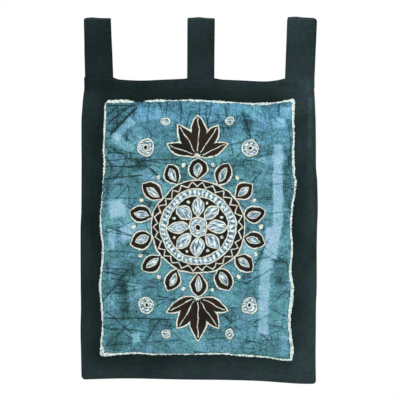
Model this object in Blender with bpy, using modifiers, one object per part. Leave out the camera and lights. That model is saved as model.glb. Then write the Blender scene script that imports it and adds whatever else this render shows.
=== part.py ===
"""A batik wall hanging: one dyed and hemmed cotton cloth that hangs from three tab loops.

Metres, +Z up. The cloth faces -Y and its back faces +Y, towards the wall. The origin is on the
rod line: the axis of a rod that the three loops would hang on, above the middle of the cloth.
Sizes in the tables are in millimetres, and MM turns them into metres.
"""

from collections import namedtuple
from math import cos, exp, pi, sin, sqrt

import bmesh
import bpy

MM = 0.001

# The cloth, as it hangs
CLOTH_HALF_WIDTH = 250.0
CLOTH_PLANE_Y = -2.5
FIELD_THICKNESS = 1.2
HEM_THICKNESS = 2.6
HEM_WIDTH = 20.0
HEM_STEP = 0.8
CORNER_DRAWN_IN = 2.6
CLOTH_COLUMNS = 24
CLOTH_ROWS = 30

# The tab loops, each a doubled strip with both ends sewn behind the top hem
STRIP_WIDTH = 57.5
STRIP_THICKNESS = 2.0
ROD_ROOM_RADIUS = 6.5
SEAM_GAP = 0.35
SEAM_OVERLAP = 21.0
LEG_SPREAD_POWER = 1.5
LEG_STEPS = 11
FOOT_STEPS = 2
ARC_STEPS = 10
STRIP_COLUMNS = 6

# Both side edges from the top corner to the bottom one: how far each stands outside the
# half width at that height, so that a minus sign is a waist
SideRow = namedtuple("SideRow", "z left_out right_out")
SIDE_EDGES = [
    SideRow(-118, -6.2, -5.6),
    SideRow(-140, -6.8, -5.2),
    SideRow(-163, -4.2, -3.8),
    SideRow(-189, -2.1, -2.9),
    SideRow(-214, -0.6, -2.0),
    SideRow(-255, -0.5, -1.5),
    SideRow(-304, -0.9, -1.3),
    SideRow(-345, -0.7, 1.6),
    SideRow(-400, -0.4, 2.5),
    SideRow(-440, 1.2, 1.0),
    SideRow(-490, 1.1, 0.2),
    SideRow(-560, 0.7, 0.4),
    SideRow(-605, 0.2, -1.2),
    SideRow(-655, 1.2, -1.5),
    SideRow(-705, 0.0, -1.7),
    SideRow(-770, -1.2, -0.9),
]

# The heading: it is held up at each tab and dips between them
EdgeRow = namedtuple("EdgeRow", "x z")
TOP_EDGE = [
    EdgeRow(-245, -117.5),
    EdgeRow(-190, -118.5),
    EdgeRow(-174, -123.4),
    EdgeRow(-125, -125.7),
    EdgeRow(-80, -124.0),
    EdgeRow(-36, -122.1),
    EdgeRow(-20, -120.6),
    EdgeRow(28, -120.6),
    EdgeRow(50, -123.6),
    EdgeRow(95, -125.6),
    EdgeRow(143, -127.6),
    EdgeRow(170, -125.2),
    EdgeRow(188, -121.4),
    EdgeRow(245, -120.5),
]
BOTTOM_EDGE = [
    EdgeRow(-250, -760.6),
    EdgeRow(-163, -758.3),
    EdgeRow(-44, -760.2),
    EdgeRow(58, -761.5),
    EdgeRow(126, -763.6),
    EdgeRow(177, -766.8),
    EdgeRow(228, -770.0),
    EdgeRow(250, -770.4),
]

# Soft folds of the hanging cloth, from their upper to their lower end. A depth over 0 is a
# hollow that runs back to the wall, and one under 0 is a ridge that comes forward.
Fold = namedtuple("Fold", "x_top x_bottom z_top z_bottom width depth")
FOLDS = [
    Fold(x_top=237, x_bottom=241, z_top=-112, z_bottom=-310, width=15, depth=-2.2),
    Fold(x_top=-125, x_bottom=-100, z_top=-90, z_bottom=-520, width=46, depth=4.2),
    Fold(x_top=125, x_bottom=95, z_top=-90, z_bottom=-600, width=50, depth=5.2),
    Fold(x_top=5, x_bottom=-25, z_top=-330, z_bottom=-860, width=50, depth=-3.2),
    Fold(x_top=-214, x_bottom=-190, z_top=-400, z_bottom=-860, width=34, depth=-2.8),
    Fold(x_top=178, x_bottom=200, z_top=-430, z_bottom=-860, width=36, depth=-3.4),
    Fold(x_top=262, x_bottom=262, z_top=-640, z_bottom=-900, width=34, depth=4.6),
    Fold(x_top=-262, x_bottom=-262, z_top=-660, z_bottom=-900, width=30, depth=-3.0),
    Fold(x_top=-246, x_bottom=-252, z_top=-170, z_bottom=-520, width=22, depth=2.4),
]
FOLD_END_SHARE = 0.3
HELD_BESIDE_TAB = 8.0
HELD_EASES_OVER = 30.0
HELD_BELOW_HEADING = 60.0

# The three tabs: the left edge of the front leg at the loop's top and at the heading, how far
# to the right the back leg stands out from behind it, and how high the fold bulges
Tab = namedtuple("Tab", "name left_top left_foot back_shift_top back_shift_foot crown")
TABS = [
    Tab("tab_left", left_top=-245.0, left_foot=-242.6, back_shift_top=0.6, back_shift_foot=2.2, crown=0.3),
    Tab("tab_middle", left_top=-24.4, left_foot=-25.4, back_shift_top=0.0, back_shift_foot=0.2, crown=1.6),
    Tab("tab_right", left_top=187.6, left_foot=183.2, back_shift_top=4.0, back_shift_foot=4.3, crown=1.2),
]
CROWN_LEANS_LEFT = 0.12
CROWN_HALF_SHARE = 0.6

CLOTH_COLOUR = (0.085, 0.21, 0.27, 1.0)
TAB_COLOUR = (0.022, 0.042, 0.046, 1.0)
CLOTH_ROUGHNESS = 0.9


def clear_scene():
    """Removes every object that the scene starts with."""
    for item in list(bpy.data.objects):
        bpy.data.objects.remove(item)


def smooth_step(share):
    """Eases from 0 to 1."""
    share = min(1.0, max(0.0, share))
    return share * share * (3.0 - 2.0 * share)


def read_off(rows, place, place_column, value_column):
    """Reads a table's value at a place, along a smooth curve that passes through its rows."""
    ordered = sorted((getattr(row, place_column), getattr(row, value_column)) for row in rows)
    place = min(ordered[-1][0], max(ordered[0][0], place))
    slopes = [(high[1] - low[1]) / (high[0] - low[0]) for low, high in zip(ordered, ordered[1:])]

    def tangent(index):
        """The curve's slope at a row: level at a peak or a hollow, and never past its rows."""
        before, after = slopes[max(0, index - 1)], slopes[min(index, len(slopes) - 1)]
        return 2.0 * before * after / (before + after) if before * after > 0.0 else 0.0

    index = max(i for i in range(len(slopes)) if ordered[i][0] <= place)
    (start, first), (end, last) = ordered[index], ordered[index + 1]
    span = end - start
    share = (place - start) / span
    pull = share * (1.0 - share) * span
    lean = tangent(index) * (1.0 - share) - tangent(index + 1) * share
    return first + (last - first) * smooth_step(share) + pull * lean


def cloth_sides(z):
    """The cloth's left and right edge at a height."""
    left_out = read_off(SIDE_EDGES, z, "z", "left_out")
    right_out = read_off(SIDE_EDGES, z, "z", "right_out")
    return -CLOTH_HALF_WIDTH - left_out, CLOTH_HALF_WIDTH + right_out


def held_at_tabs(x, z):
    """1 where a tab holds the heading flat, and 0 where the cloth is free to fold."""
    across = 0.0
    for tab in TABS:
        middle = tab.left_foot + STRIP_WIDTH / 2.0
        beyond = abs(x - middle) - STRIP_WIDTH / 2.0 - HELD_BESIDE_TAB
        across = max(across, 1.0 - smooth_step(beyond / HELD_EASES_OVER))
    below = TOP_EDGE[0].z - SEAM_OVERLAP - z
    return across * (1.0 - smooth_step(below / HELD_BELOW_HEADING))


def fold_depth(x, z):
    """How far behind its flat plane the cloth hangs at a place."""
    depth = 0.0
    for fold in FOLDS:
        share = (fold.z_top - z) / (fold.z_top - fold.z_bottom)
        if 0.0 < share < 1.0:
            middle = fold.x_top + (fold.x_bottom - fold.x_top) * share
            fade = smooth_step(share / FOLD_END_SHARE) * smooth_step((1.0 - share) / FOLD_END_SHARE)
            depth += fold.depth * fade * exp(-(((x - middle) / fold.width) ** 2))
    return depth * (1.0 - held_at_tabs(x, z))


def stations(length, inner_steps):
    """Places along one side of the cloth: across the hem, its step, the field, and back again."""
    hem = [0.0, HEM_WIDTH / 2.0, HEM_WIDTH]
    first, last = HEM_WIDTH + HEM_STEP, length - HEM_WIDTH - HEM_STEP
    field = [first + (last - first) * step / inner_steps for step in range(inner_steps + 1)]
    return hem + field + [length - place for place in reversed(hem)]


def cloth_point(across, down):
    """A point of the cloth's front from its shares of the width and of the height."""
    rough_x = CLOTH_HALF_WIDTH * (2.0 * across - 1.0)
    top = read_off(TOP_EDGE, rough_x, "x", "z")
    bottom = read_off(BOTTOM_EDGE, rough_x, "x", "z")
    z = top + (bottom - top) * down
    left, right = cloth_sides(z)
    x = left + (right - left) * across
    return x, CLOTH_PLANE_Y - FIELD_THICKNESS / 2.0 + fold_depth(x, z), z


def cloth_mesh():
    """The cloth's front as a grid, and the points that lie on its hem."""
    width = 2.0 * CLOTH_HALF_WIDTH
    height = TOP_EDGE[0].z - BOTTOM_EDGE[0].z
    columns = [place / width for place in stations(width, CLOTH_COLUMNS)]
    rows = [place / height for place in stations(height, CLOTH_ROWS)]
    shape = bmesh.new()
    bmesh.ops.create_grid(shape, x_segments=len(columns) - 1, y_segments=len(rows) - 1, size=1.0)
    hem_points = []
    hem_across, hem_down = HEM_WIDTH / width, HEM_WIDTH / height
    for index, point in enumerate(shape.verts):
        column = round((point.co.x + 1.0) / 2.0 * (len(columns) - 1))
        row = round((1.0 - point.co.y) / 2.0 * (len(rows) - 1))
        across, down = columns[column], rows[row]
        x, y, z = cloth_point(across, down)
        at_bottom_corner = row == len(rows) - 1 and column in (0, len(columns) - 1)
        if at_bottom_corner:
            x -= CORNER_DRAWN_IN if column else -CORNER_DRAWN_IN
            z += CORNER_DRAWN_IN
        point.co = (x * MM, y * MM, z * MM)
        edge_distance = min(across / hem_across, (1.0 - across) / hem_across)
        edge_distance = min(edge_distance, down / hem_down, (1.0 - down) / hem_down)
        if edge_distance < 1.0 + 1e-6:
            hem_points.append(index)
    mesh = bpy.data.meshes.new("batik_cloth")
    shape.to_mesh(mesh)
    shape.free()
    return mesh, hem_points


def make_cloth(collection, material):
    """The cloth: one sheet, with its hem turned to the back on all four sides."""
    mesh, hem_points = cloth_mesh()
    cloth = bpy.data.objects.new("batik_cloth", mesh)
    collection.objects.link(cloth)
    mesh.materials.append(material)
    everywhere = list(range(len(mesh.vertices)))
    layers = cloth.vertex_groups.new(name="layers")
    layers.add(everywhere, FIELD_THICKNESS / HEM_THICKNESS, "REPLACE")
    layers.add(hem_points, 1.0, "REPLACE")
    sheet = cloth.modifiers.new("sheet and hem", "SOLIDIFY")
    sheet.thickness = HEM_THICKNESS * MM
    sheet.offset = -1.0
    sheet.vertex_group = layers.name
    mesh.shade_smooth()
    return cloth


def strip_path(tab):
    """The middle line of a tab's loop, from the front leg's sewn end over the rod line to the back
    leg's: for each point, its y and z, and how far along from the front to the back it is."""
    heading = read_off(TOP_EDGE, tab.left_foot + STRIP_WIDTH / 2.0, "x", "z")
    hem_back = CLOTH_PLANE_Y - FIELD_THICKNESS / 2.0 + HEM_THICKNESS
    foot_front = hem_back + SEAM_GAP + STRIP_THICKNESS / 2.0
    foot_back = foot_front + STRIP_THICKNESS + SEAM_GAP
    radius = ROD_ROOM_RADIUS + STRIP_THICKNESS / 2.0

    def leg(foot_y, side):
        """One leg, from its sewn end up to the rod line."""
        points = []
        for step in range(FOOT_STEPS):
            points.append((foot_y, heading - SEAM_OVERLAP * (1.0 - step / FOOT_STEPS)))
        for step in range(LEG_STEPS):
            share = step / LEG_STEPS
            spread = sin(share * pi / 2.0) ** LEG_SPREAD_POWER
            points.append((foot_y + (side * radius - foot_y) * spread, heading * (1.0 - share)))
        return points

    front, back = leg(foot_front, -1.0), leg(foot_back, 1.0)
    path = [(y, z, 0.0) for y, z in front]
    for step in range(ARC_STEPS + 1):
        share = step / ARC_STEPS
        path.append((-radius * cos(pi * share), radius * sin(pi * share), share))
    path += [(y, z, 1.0) for y, z in reversed(back)]
    return path, heading


def make_tab(tab, collection, material):
    """One tab: a strip that goes up behind the heading, over the rod line and down again."""
    path, heading = strip_path(tab)
    shape = bmesh.new()
    bmesh.ops.create_grid(shape, x_segments=STRIP_COLUMNS, y_segments=len(path) - 1, size=1.0)
    for point in shape.verts:
        across = (point.co.x + 1.0) / 2.0
        y, z, over = path[round((point.co.y + 1.0) / 2.0 * (len(path) - 1))]
        down = min(1.0, max(0.0, z / heading))
        left = tab.left_top + (tab.left_foot - tab.left_top) * down
        shift = tab.back_shift_top + (tab.back_shift_foot - tab.back_shift_top) * down
        x = left + shift * smooth_step(over) + STRIP_WIDTH * across
        bulge = max(0.0, 1.0 - ((across - 0.5 + CROWN_LEANS_LEFT) / CROWN_HALF_SHARE) ** 2)
        rise = tab.crown * bulge * sqrt(max(0.0, z) / ROD_ROOM_RADIUS)
        point.co = (x * MM, y * MM, (z + rise) * MM)
    mesh = bpy.data.meshes.new(tab.name)
    shape.to_mesh(mesh)
    shape.free()
    loop = bpy.data.objects.new(tab.name, mesh)
    collection.objects.link(loop)
    mesh.materials.append(material)
    strip = loop.modifiers.new("doubled strip", "SOLIDIFY")
    strip.thickness = STRIP_THICKNESS * MM
    strip.offset = 0.0
    mesh.shade_smooth()
    return loop


def dyed_cotton(name, colour):
    """A plain dyed cotton."""
    material = bpy.data.materials.new(name)
    material.use_nodes = True
    shader = material.node_tree.nodes["Principled BSDF"]
    shader.inputs["Base Color"].default_value = colour
    shader.inputs["Roughness"].default_value = CLOTH_ROUGHNESS
    shader.inputs["Metallic"].default_value = 0.0
    return material


def main():
    """Builds the cloth and its three tab loops in one collection."""
    clear_scene()
    collection = bpy.data.collections.new("batik_wall_hanging")
    bpy.context.scene.collection.children.link(collection)
    make_cloth(collection, dyed_cotton("batik_cotton", CLOTH_COLOUR))
    tab_cotton = dyed_cotton("dark_cotton", TAB_COLOUR)
    for tab in TABS:
        make_tab(tab, collection, tab_cotton)


main()
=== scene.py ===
"""The looks of a batik wall hanging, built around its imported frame.

One dyed and hemmed cotton cloth hangs from three tab loops that are sewn behind its top hem. The
cloth faces -Y, and the origin is on the rod line above the middle of the cloth. Sizes are in
millimetres, as are the pieces' own "cloth" maps, and MM turns a size into Blender's metres.
"""

from __future__ import annotations

import logging
from collections.abc import Sequence
from dataclasses import dataclass
from enum import Enum
from functools import reduce
from math import atan2, cos, hypot, pi, radians, sin
from typing import NamedTuple, TypeVar

import bmesh
import bpy
import numpy as np
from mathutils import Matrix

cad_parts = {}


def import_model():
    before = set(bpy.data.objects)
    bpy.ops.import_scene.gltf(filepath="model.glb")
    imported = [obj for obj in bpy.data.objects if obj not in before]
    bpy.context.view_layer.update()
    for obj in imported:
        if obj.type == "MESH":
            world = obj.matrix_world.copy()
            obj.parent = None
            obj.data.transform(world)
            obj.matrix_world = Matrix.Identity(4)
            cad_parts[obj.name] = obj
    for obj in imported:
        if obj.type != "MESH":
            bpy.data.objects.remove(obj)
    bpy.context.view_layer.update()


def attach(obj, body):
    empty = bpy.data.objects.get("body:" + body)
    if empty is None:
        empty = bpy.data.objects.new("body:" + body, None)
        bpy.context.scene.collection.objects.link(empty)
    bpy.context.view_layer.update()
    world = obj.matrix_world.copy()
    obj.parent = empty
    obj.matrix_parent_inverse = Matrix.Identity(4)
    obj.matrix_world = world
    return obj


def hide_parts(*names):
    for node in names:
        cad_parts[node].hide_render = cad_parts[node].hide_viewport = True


MM = 0.001
BODY = "root"
CLOTH_MAP = "cloth"

Vector = tuple[float, float, float]
Colour = tuple[float, float, float]
Stop = tuple[float, Colour]
Range = tuple[float, float]
Pair = tuple[float, float]
Row = TypeVar("Row")

ACROSS: Vector = (1.0, 0.0, 0.0)
ALONG: Vector = (0.0, 1.0, 0.0)
UPWARD: Vector = (0.0, 0.0, 1.0)
FAR = 1000.0

log = logging.getLogger("batik_wall_hanging")


# Tables of the cloth as it hangs


def table(kind: type[Row], *rows: tuple[float, ...]) -> list[Row]:
    """A table's rows, each with its values named."""
    return [kind(*row) for row in rows]


class SideRow(NamedTuple):
    """How far each side edge stands outside the half width at a height."""

    z: float
    left_out: float
    right_out: float


class EdgeRow(NamedTuple):
    """The height of the top or bottom edge at a place across the cloth."""

    x: float
    z: float


class Fold(NamedTuple):
    """A soft fold, from its upper to its lower end: a depth over 0 is a hollow."""

    x_top: float
    x_bottom: float
    z_top: float
    z_bottom: float
    width: float
    depth: float


class Tab(NamedTuple):
    """A tab loop: where its left edge lies, how its back leg is skewed, and its uneven top."""

    name: str
    left_top: float
    left_foot: float
    back_shift_top: float
    back_shift_foot: float
    wider_top: float
    lift_left: float
    lift_right: float
    crown: float
    crown_at: float
    drop_left: float
    drop_right: float
    fading_and_light: float


SIDE_EDGES = table(
    SideRow,
    (-118, -6.2, -5.6), (-140, -6.8, -5.2), (-163, -4.2, -3.8), (-189, -2.1, -2.9), (-214, -0.6, -2.0),
    (-255, -0.5, -1.5), (-304, -0.9, -1.3), (-345, -0.7, 1.6), (-400, -0.4, 2.5), (-440, 1.2, 1.0),
    (-490, 1.1, 0.2), (-560, 0.7, 0.4), (-605, 0.2, -1.2), (-655, 1.2, -1.5), (-705, 0.0, -1.7),
    (-770, -1.2, -0.9),
)
TOP_EDGE = table(
    EdgeRow,
    (-245, -117.5), (-190, -118.5), (-174, -123.4), (-125, -125.7), (-80, -124.0), (-36, -122.1),
    (-20, -120.6), (28, -120.6), (50, -123.6), (95, -125.6), (143, -127.6), (170, -125.2),
    (188, -121.4), (245, -120.5),
)
BOTTOM_EDGE = table(
    EdgeRow,
    (-250, -760.6), (-163, -758.3), (-44, -760.2), (58, -761.5), (126, -763.6), (177, -766.8),
    (228, -770.0), (250, -770.4),
)
FOLDS = table(
    Fold,
    (237, 241, -112, -310, 15, -2.2), (-125, -100, -90, -520, 46, 4.2), (125, 95, -90, -600, 50, 5.2),
    (5, -25, -330, -860, 50, -3.2), (-214, -190, -400, -860, 34, -2.8),
    (178, 200, -430, -860, 36, -3.4), (262, 262, -640, -900, 34, 4.6),
    (-262, -262, -660, -900, 30, -3.0), (-246, -252, -170, -520, 22, 2.4),
)
# The last column, fading_and_light, is how pale each tab is: paled dye and painted light from the right,
# which paints the right tab palest and the left one darkest.
TABS = [
    Tab("tab_left", -244.2, -241.8, -0.2, 2.2, -0.9, -0.3, -0.8, 1.2, 0.28, 2.4, 0.4, fading_and_light=0.26),
    Tab("tab_middle", -23.9, -24.8, 0.0, 0.2, 0.4, 0.3, -1.0, 1.5, 0.44, 1.6, 1.0, fading_and_light=0.44),
    Tab("tab_right", 187.4, 183.2, 6.8, 5.3, 0.2, 1.6, -0.3, 1.4, 0.28, 0.6, 1.8, fading_and_light=0.66),
]


class Crease(NamedTuple):
    """A small crease in the cloth, narrower than a fold: a trough over 0, a ridge under 0."""

    x_start: float
    z_start: float
    x_end: float
    z_end: float
    width: float
    depth: float


CREASES = table(
    Crease,
    (-226, -150, -224, -330, 5.0, -0.5), (228, -140, 233, -420, 5.5, -0.8),
    (214, -150, 219, -300, 6.0, 0.6), (-182, -128, -150, -160, 6.0, 0.5),
    (40, -126, 66, -158, 6.0, 0.5), (-40, -128, -64, -160, 6.0, 0.5), (170, -130, 146, -166, 7.0, 0.6),
    (-240, -560, -170, -740, 9.0, 0.7), (236, -600, 206, -760, 8.0, -0.7),
    (-120, -735, 20, -742, 6.0, 0.45), (60, -740, 180, -748, 6.0, 0.5),
)


# The dyed panel


class WaxRow(NamedTuple):
    """Where the wax border line runs at a place along it, and half its width there."""

    place: float
    line: float
    half_width: float


class Patch(NamedTuple):
    """A patch that took more dye, or less under 0, with an edge that is soft by so much."""

    x: float
    z: float
    half_width: float
    half_height: float
    turn: float
    dye: float
    soft: float


class Vein(NamedTuple):
    """A long straight crack of the wax, where the dark dye ran in."""

    x_start: float
    z_start: float
    x_end: float
    z_end: float
    half_width: float
    dye: float


WAX_LEFT = table(
    WaxRow,
    (-172, -199.2, -2.6), (-174.6, -199.2, 1.0), (-180, -198.8, 1.6), (-224, -200.2, 2.1),
    (-249, -201.1, 1.2), (-275, -202.0, 1.5), (-300, -200.4, 2.3), (-345, -203.6, 0.6),
    (-390, -206.5, 1.2), (-410, -208.7, 1.1), (-441, -207.8, 1.8), (-479, -203.5, 1.8),
    (-504, -204.2, 2.2), (-530, -206.6, 1.4), (-562, -209.4, 2.4), (-594, -207.0, 1.9),
    (-619, -204.7, 2.3), (-645, -204.5, 0.8), (-658, -204.2, 2.2), (-683, -206.9, 1.7),
    (-690, -206.0, 2.6), (-697, -204.8, 4.2), (-706, -206.0, 3.8),
)
WAX_RIGHT = table(
    WaxRow,
    (-170, 200.7, 3.7), (-211, 200.2, 2.4), (-249, 201.8, 1.5), (-275, 200.3, 2.3), (-313, 201.4, 2.6),
    (-326, 202.3, 1.8), (-339, 205.3, 2.5), (-364, 203.4, 1.9), (-390, 198.5, 2.0), (-441, 195.4, 1.8),
    (-478, 197.6, 1.9), (-490, 197.4, 2.7), (-504, 196.2, 1.6), (-530, 194.0, 2.5), (-568, 198.0, 3.5),
    (-594, 196.1, 3.5), (-632, 191.6, 3.1), (-670, 194.6, 2.9), (-696, 197.2, 3.7), (-716, 196.2, 2.7),
)
WAX_TOP = table(
    WaxRow,
    (-197, -171.2, -2.6), (-194.6, -170.8, 1.6), (-191, -170.4, 3.1), (-150, -169.5, 3.0),
    (-140, -171.0, 1.2), (-133, -171.6, -0.5), (-126, -171.6, -0.9), (-119, -170.4, -0.6),
    (-112, -169.2, 1.5), (-85, -168.4, 2.4), (-47, -168.2, 0.7), (-30, -167.6, 1.8), (4, -168.9, 2.3),
    (17, -169.6, 1.6), (42, -170.9, 2.7), (81, -172.8, 0.7), (119, -175.4, 2.3), (144, -174.9, 2.6),
    (160, -173.4, 1.4), (183, -170.0, 1.9), (198, -167.6, 3.2),
)
WAX_BOTTOM = table(
    WaxRow,
    (-208, -707.2, 3.9), (-193, -707.6, 3.3), (-181, -706.9, 2.4), (-170, -706.0, 1.7),
    (-158, -705.3, 1.5), (-132, -704.5, 1.7), (-90, -707.3, 1.6), (-50, -706.3, 0.9),
    (-25, -706.6, 1.3), (21, -705.8, 1.3), (59, -706.1, 1.9), (74, -708.4, 1.1), (98, -709.5, 2.1),
    (149, -713.7, 1.6), (176, -718.0, 1.6), (190, -718.4, 2.4), (200, -718.5, 1.7),
)
PATCHES = table(
    Patch,
    (-181, -194, 62, 26, 41, 0.10, 8), (-161, -227, 27, 9, 48, -0.22, 4),
    (-163, -261, 24, 10, -39, -0.22, 5), (-146, -240, 10, 14, 0, 0.08, 6),
    (-108, -196, 26, 14, 10, -0.16, 6), (-70, -196, 20, 14, 0, -0.10, 8),
    (-124, -303, 11, 14, 0, 0.20, 8), (-112, -392, 11, 26, 0, 0.24, 7),
    (-174, -396, 16, 20, 9, -0.26, 10), (-186, -462, 8, 22, 0, -0.22, 4),
    (-150, -445, 16, 18, 6, -0.22, 5), (-148, -514, 16, 10, 8, 0.12, 12),
    (-157, -535, 23, 9, 2, 0.22, 12), (-157, -584, 7, 33, 4, 0.25, 10),
    (-136, -574, 15, 22, -6, -0.20, 8), (-186, -570, 7, 36, 0, -0.14, 5),
    (-150, -600, 60, 100, 0, 0.04, 60), (-150, -420, 50, 50, 0, -0.09, 40),
    (-166, -618, 16, 11, 0, 0.16, 9), (-132, -671, 9, 10, 12, -0.30, 4),
    (-180, -668, 16, 16, 0, 0.08, 9), (-150, -693, 34, 11, 0, 0.15, 12),
    (-190, -690, 12, 20, 0, 0.07, 14), (182, -690, 9, 20, 0, -0.20, 10),
    (150, -226, 40, 40, 0, -0.10, 20), (176, -214, 9, 9, 0, -0.22, 5), (104, -222, 9, 12, 0, 0.15, 8),
    (168, -350, 10, 88, 0, -0.32, 3), (190, -330, 9, 66, 0, 0.12, 4), (154, -470, 15, 34, -8, -0.34, 4),
    (140, -545, 12, 44, -4, -0.30, 4), (136, -625, 10, 38, 0, -0.32, 6),
    (112, -484, 16, 32, -12, -0.20, 6), (174, -534, 14, 28, 0, 0.24, 8),
    (102, -536, 10, 10, 0, 0.24, 8),
)
# Where the border is paler, or darker under 0: these rows give paleness, not dye. Part is paled dye and part
# is painted light: the right side and the bottom are painted paler as if lit from there, the top left under
# the heading is painted darker, and narrow painted highlights lie on the ridges along the right border.
FADED_AND_LIT_PLACES = table(
    Patch,
    (-190, -132, 80, 14, 0, -0.22, 20), (-226, -134, 40, 18, 0, -0.14, 24),
    (226, -420, 30, 400, 0, 0.21, 50), (226, -146, 40, 40, 0, 0.24, 50),
    (150, -146, 60, 30, 0, 0.16, 90), (235.5, -215, 3.5, 55, -1, 0.72, 7),
    (231.5, -147, 4, 18, -4, 0.32, 8), (217, -131, 7, 4, 0, 0.40, 7), (190, -135, 19, 6, 0, -0.26, 9),
    (237.5, -335, 4, 60, 0, 0.22, 8), (226, -225, 40, 55, 0, 0.12, 30),
    (226, -690, 40, 60, 0, 0.27, 90), (247, -600, 12, 90, 0, 0.24, 16), (0, -742, 290, 30, 0, 0.12, 40),
    (60, -742, 80, 30, 0, 0.18, 90), (170, -742, 60, 40, 0, 0.14, 80),
    (-226, -640, 40, 90, 0, 0.07, 90),
)
VEINS = table(
    Vein,
    (-201, -308, -96, -306, 1.0, 0.40), (-150, -310, -128, -306, 1.8, 0.30),
    (-201, -334, -116, -326, 1.1, 0.45), (-152, -332, -128, -328, 2.0, 0.35),
    (-196, -280, -156, -280, 1.0, 0.34), (-192, -266, -94, -320, 0.9, 0.40),
    (-134, -290, -124, -302, 1.8, 0.40), (-106, -312, -72, -342, 2.4, 0.45),
    (-199, -376, -127, -376, 0.9, 0.34), (-197, -437, -99, -468, 1.2, 0.50),
    (-197, -451, -114, -411, 1.1, 0.40), (-200, -488, -105, -493, 0.9, 0.36),
    (-200, -631, -60, -632, 1.1, 0.46), (-200, -650, -110, -660, 0.9, 0.34),
    (-195, -542, -118, -560, 0.9, 0.34), (-38, -174, -37, -232, 1.0, 0.40),
    (-18, -188, -27, -228, 0.9, 0.34), (56, -176, 64, -232, 1.1, 0.42),
    (92, -190, 106, -232, 1.1, 0.42), (80, -186, 82, -210, 0.9, 0.30),
    (-190, -242, -133, -182, 2.3, 0.50), (-195, -218, -143, -176, 1.2, 0.42),
    (-193, -200, -168, -177, 1.3, 0.34), (-198, -180, -134, -178, 1.6, 0.34),
    (15, -184, 20, -232, 1.8, 0.30), (112, -229, 154, -240, 0.8, 0.34),
    (150, -196, 176, -220, 0.8, 0.30), (150, -323, 194, -326, 0.7, 0.30),
    (150, -346, 196, -344, 0.7, 0.30), (146, -408, 196, -404, 0.8, 0.34),
    (96, -559, 158, -525, 1.0, 0.42), (116, -639, 152, -622, 0.9, 0.36),
    (116, -524, 150, -462, 1.0, 0.42), (112, -478, 168, -512, 0.9, 0.38),
)


def eased(share: np.ndarray) -> np.ndarray:
    """Eases from 0 to 1, and stays there."""
    share = np.clip(share, 0.0, 1.0)
    return share * share * (3.0 - 2.0 * share)


def between_ends(share: np.ndarray, end: float) -> np.ndarray:
    """Eases from 0 to 1 over a share at the start, and back to 0 over the same at the end."""
    return eased(share / end) * eased((1.0 - share) / end)


def mound(away: np.ndarray, width: float) -> np.ndarray:
    """1 in the middle of a soft mound, falling to 0 beside it."""
    return np.exp(-((away / width) ** 2))


class SmoothCurve:
    """A smooth curve through a short table's rows, level at a peak and never past its rows."""

    def __init__(self, rows: Sequence[tuple[float, float]]) -> None:
        """Fits the curve.

        Args:
            rows: pairs of a place and the value there.
        """
        ordered = sorted(rows)
        self.places = np.array([place for place, _ in ordered], float)
        self.values = np.array([value for _, value in ordered], float)
        slopes = np.diff(self.values) / np.diff(self.places)
        before = np.concatenate([slopes[:1], slopes])
        after = np.concatenate([slopes, slopes[-1:]])
        same_way = before * after > 0.0
        total = np.where(same_way, before + after, 1.0)
        self.leans = np.where(same_way, 2.0 * before * after / total, 0.0)

    def __call__(self, place: np.ndarray) -> np.ndarray:
        """The curve's value at each place."""
        place = np.clip(place, self.places[0], self.places[-1])
        low = np.searchsorted(self.places, place, side="right") - 1
        low = np.clip(low, 0, len(self.places) - 2)
        span = self.places[low + 1] - self.places[low]
        share = (place - self.places[low]) / span
        rise = self.values[low + 1] - self.values[low]
        lean = self.leans[low] * (1.0 - share) - self.leans[low + 1] * share
        return self.values[low] + rise * eased(share) + share * (1.0 - share) * span * lean


class Waves(NamedTuple):
    """Soft waves that bend, and that fade out and in again."""

    depth: float
    length: float
    bend: float
    bend_length: float
    fade_length: float
    lean_length: float

    def at(self, along: np.ndarray, across: np.ndarray) -> np.ndarray:
        """How deep the waves are at each place."""
        wave = np.sin(along / self.length + self.bend * np.sin(across / self.bend_length))
        return self.depth * wave * np.sin(across / self.fade_length + along / self.lean_length)


class Ridge(NamedTuple):
    """A pressed line along the hem: how far in from the edge it runs, its depth and its width."""

    inset: float
    depth: float
    width: float


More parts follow.
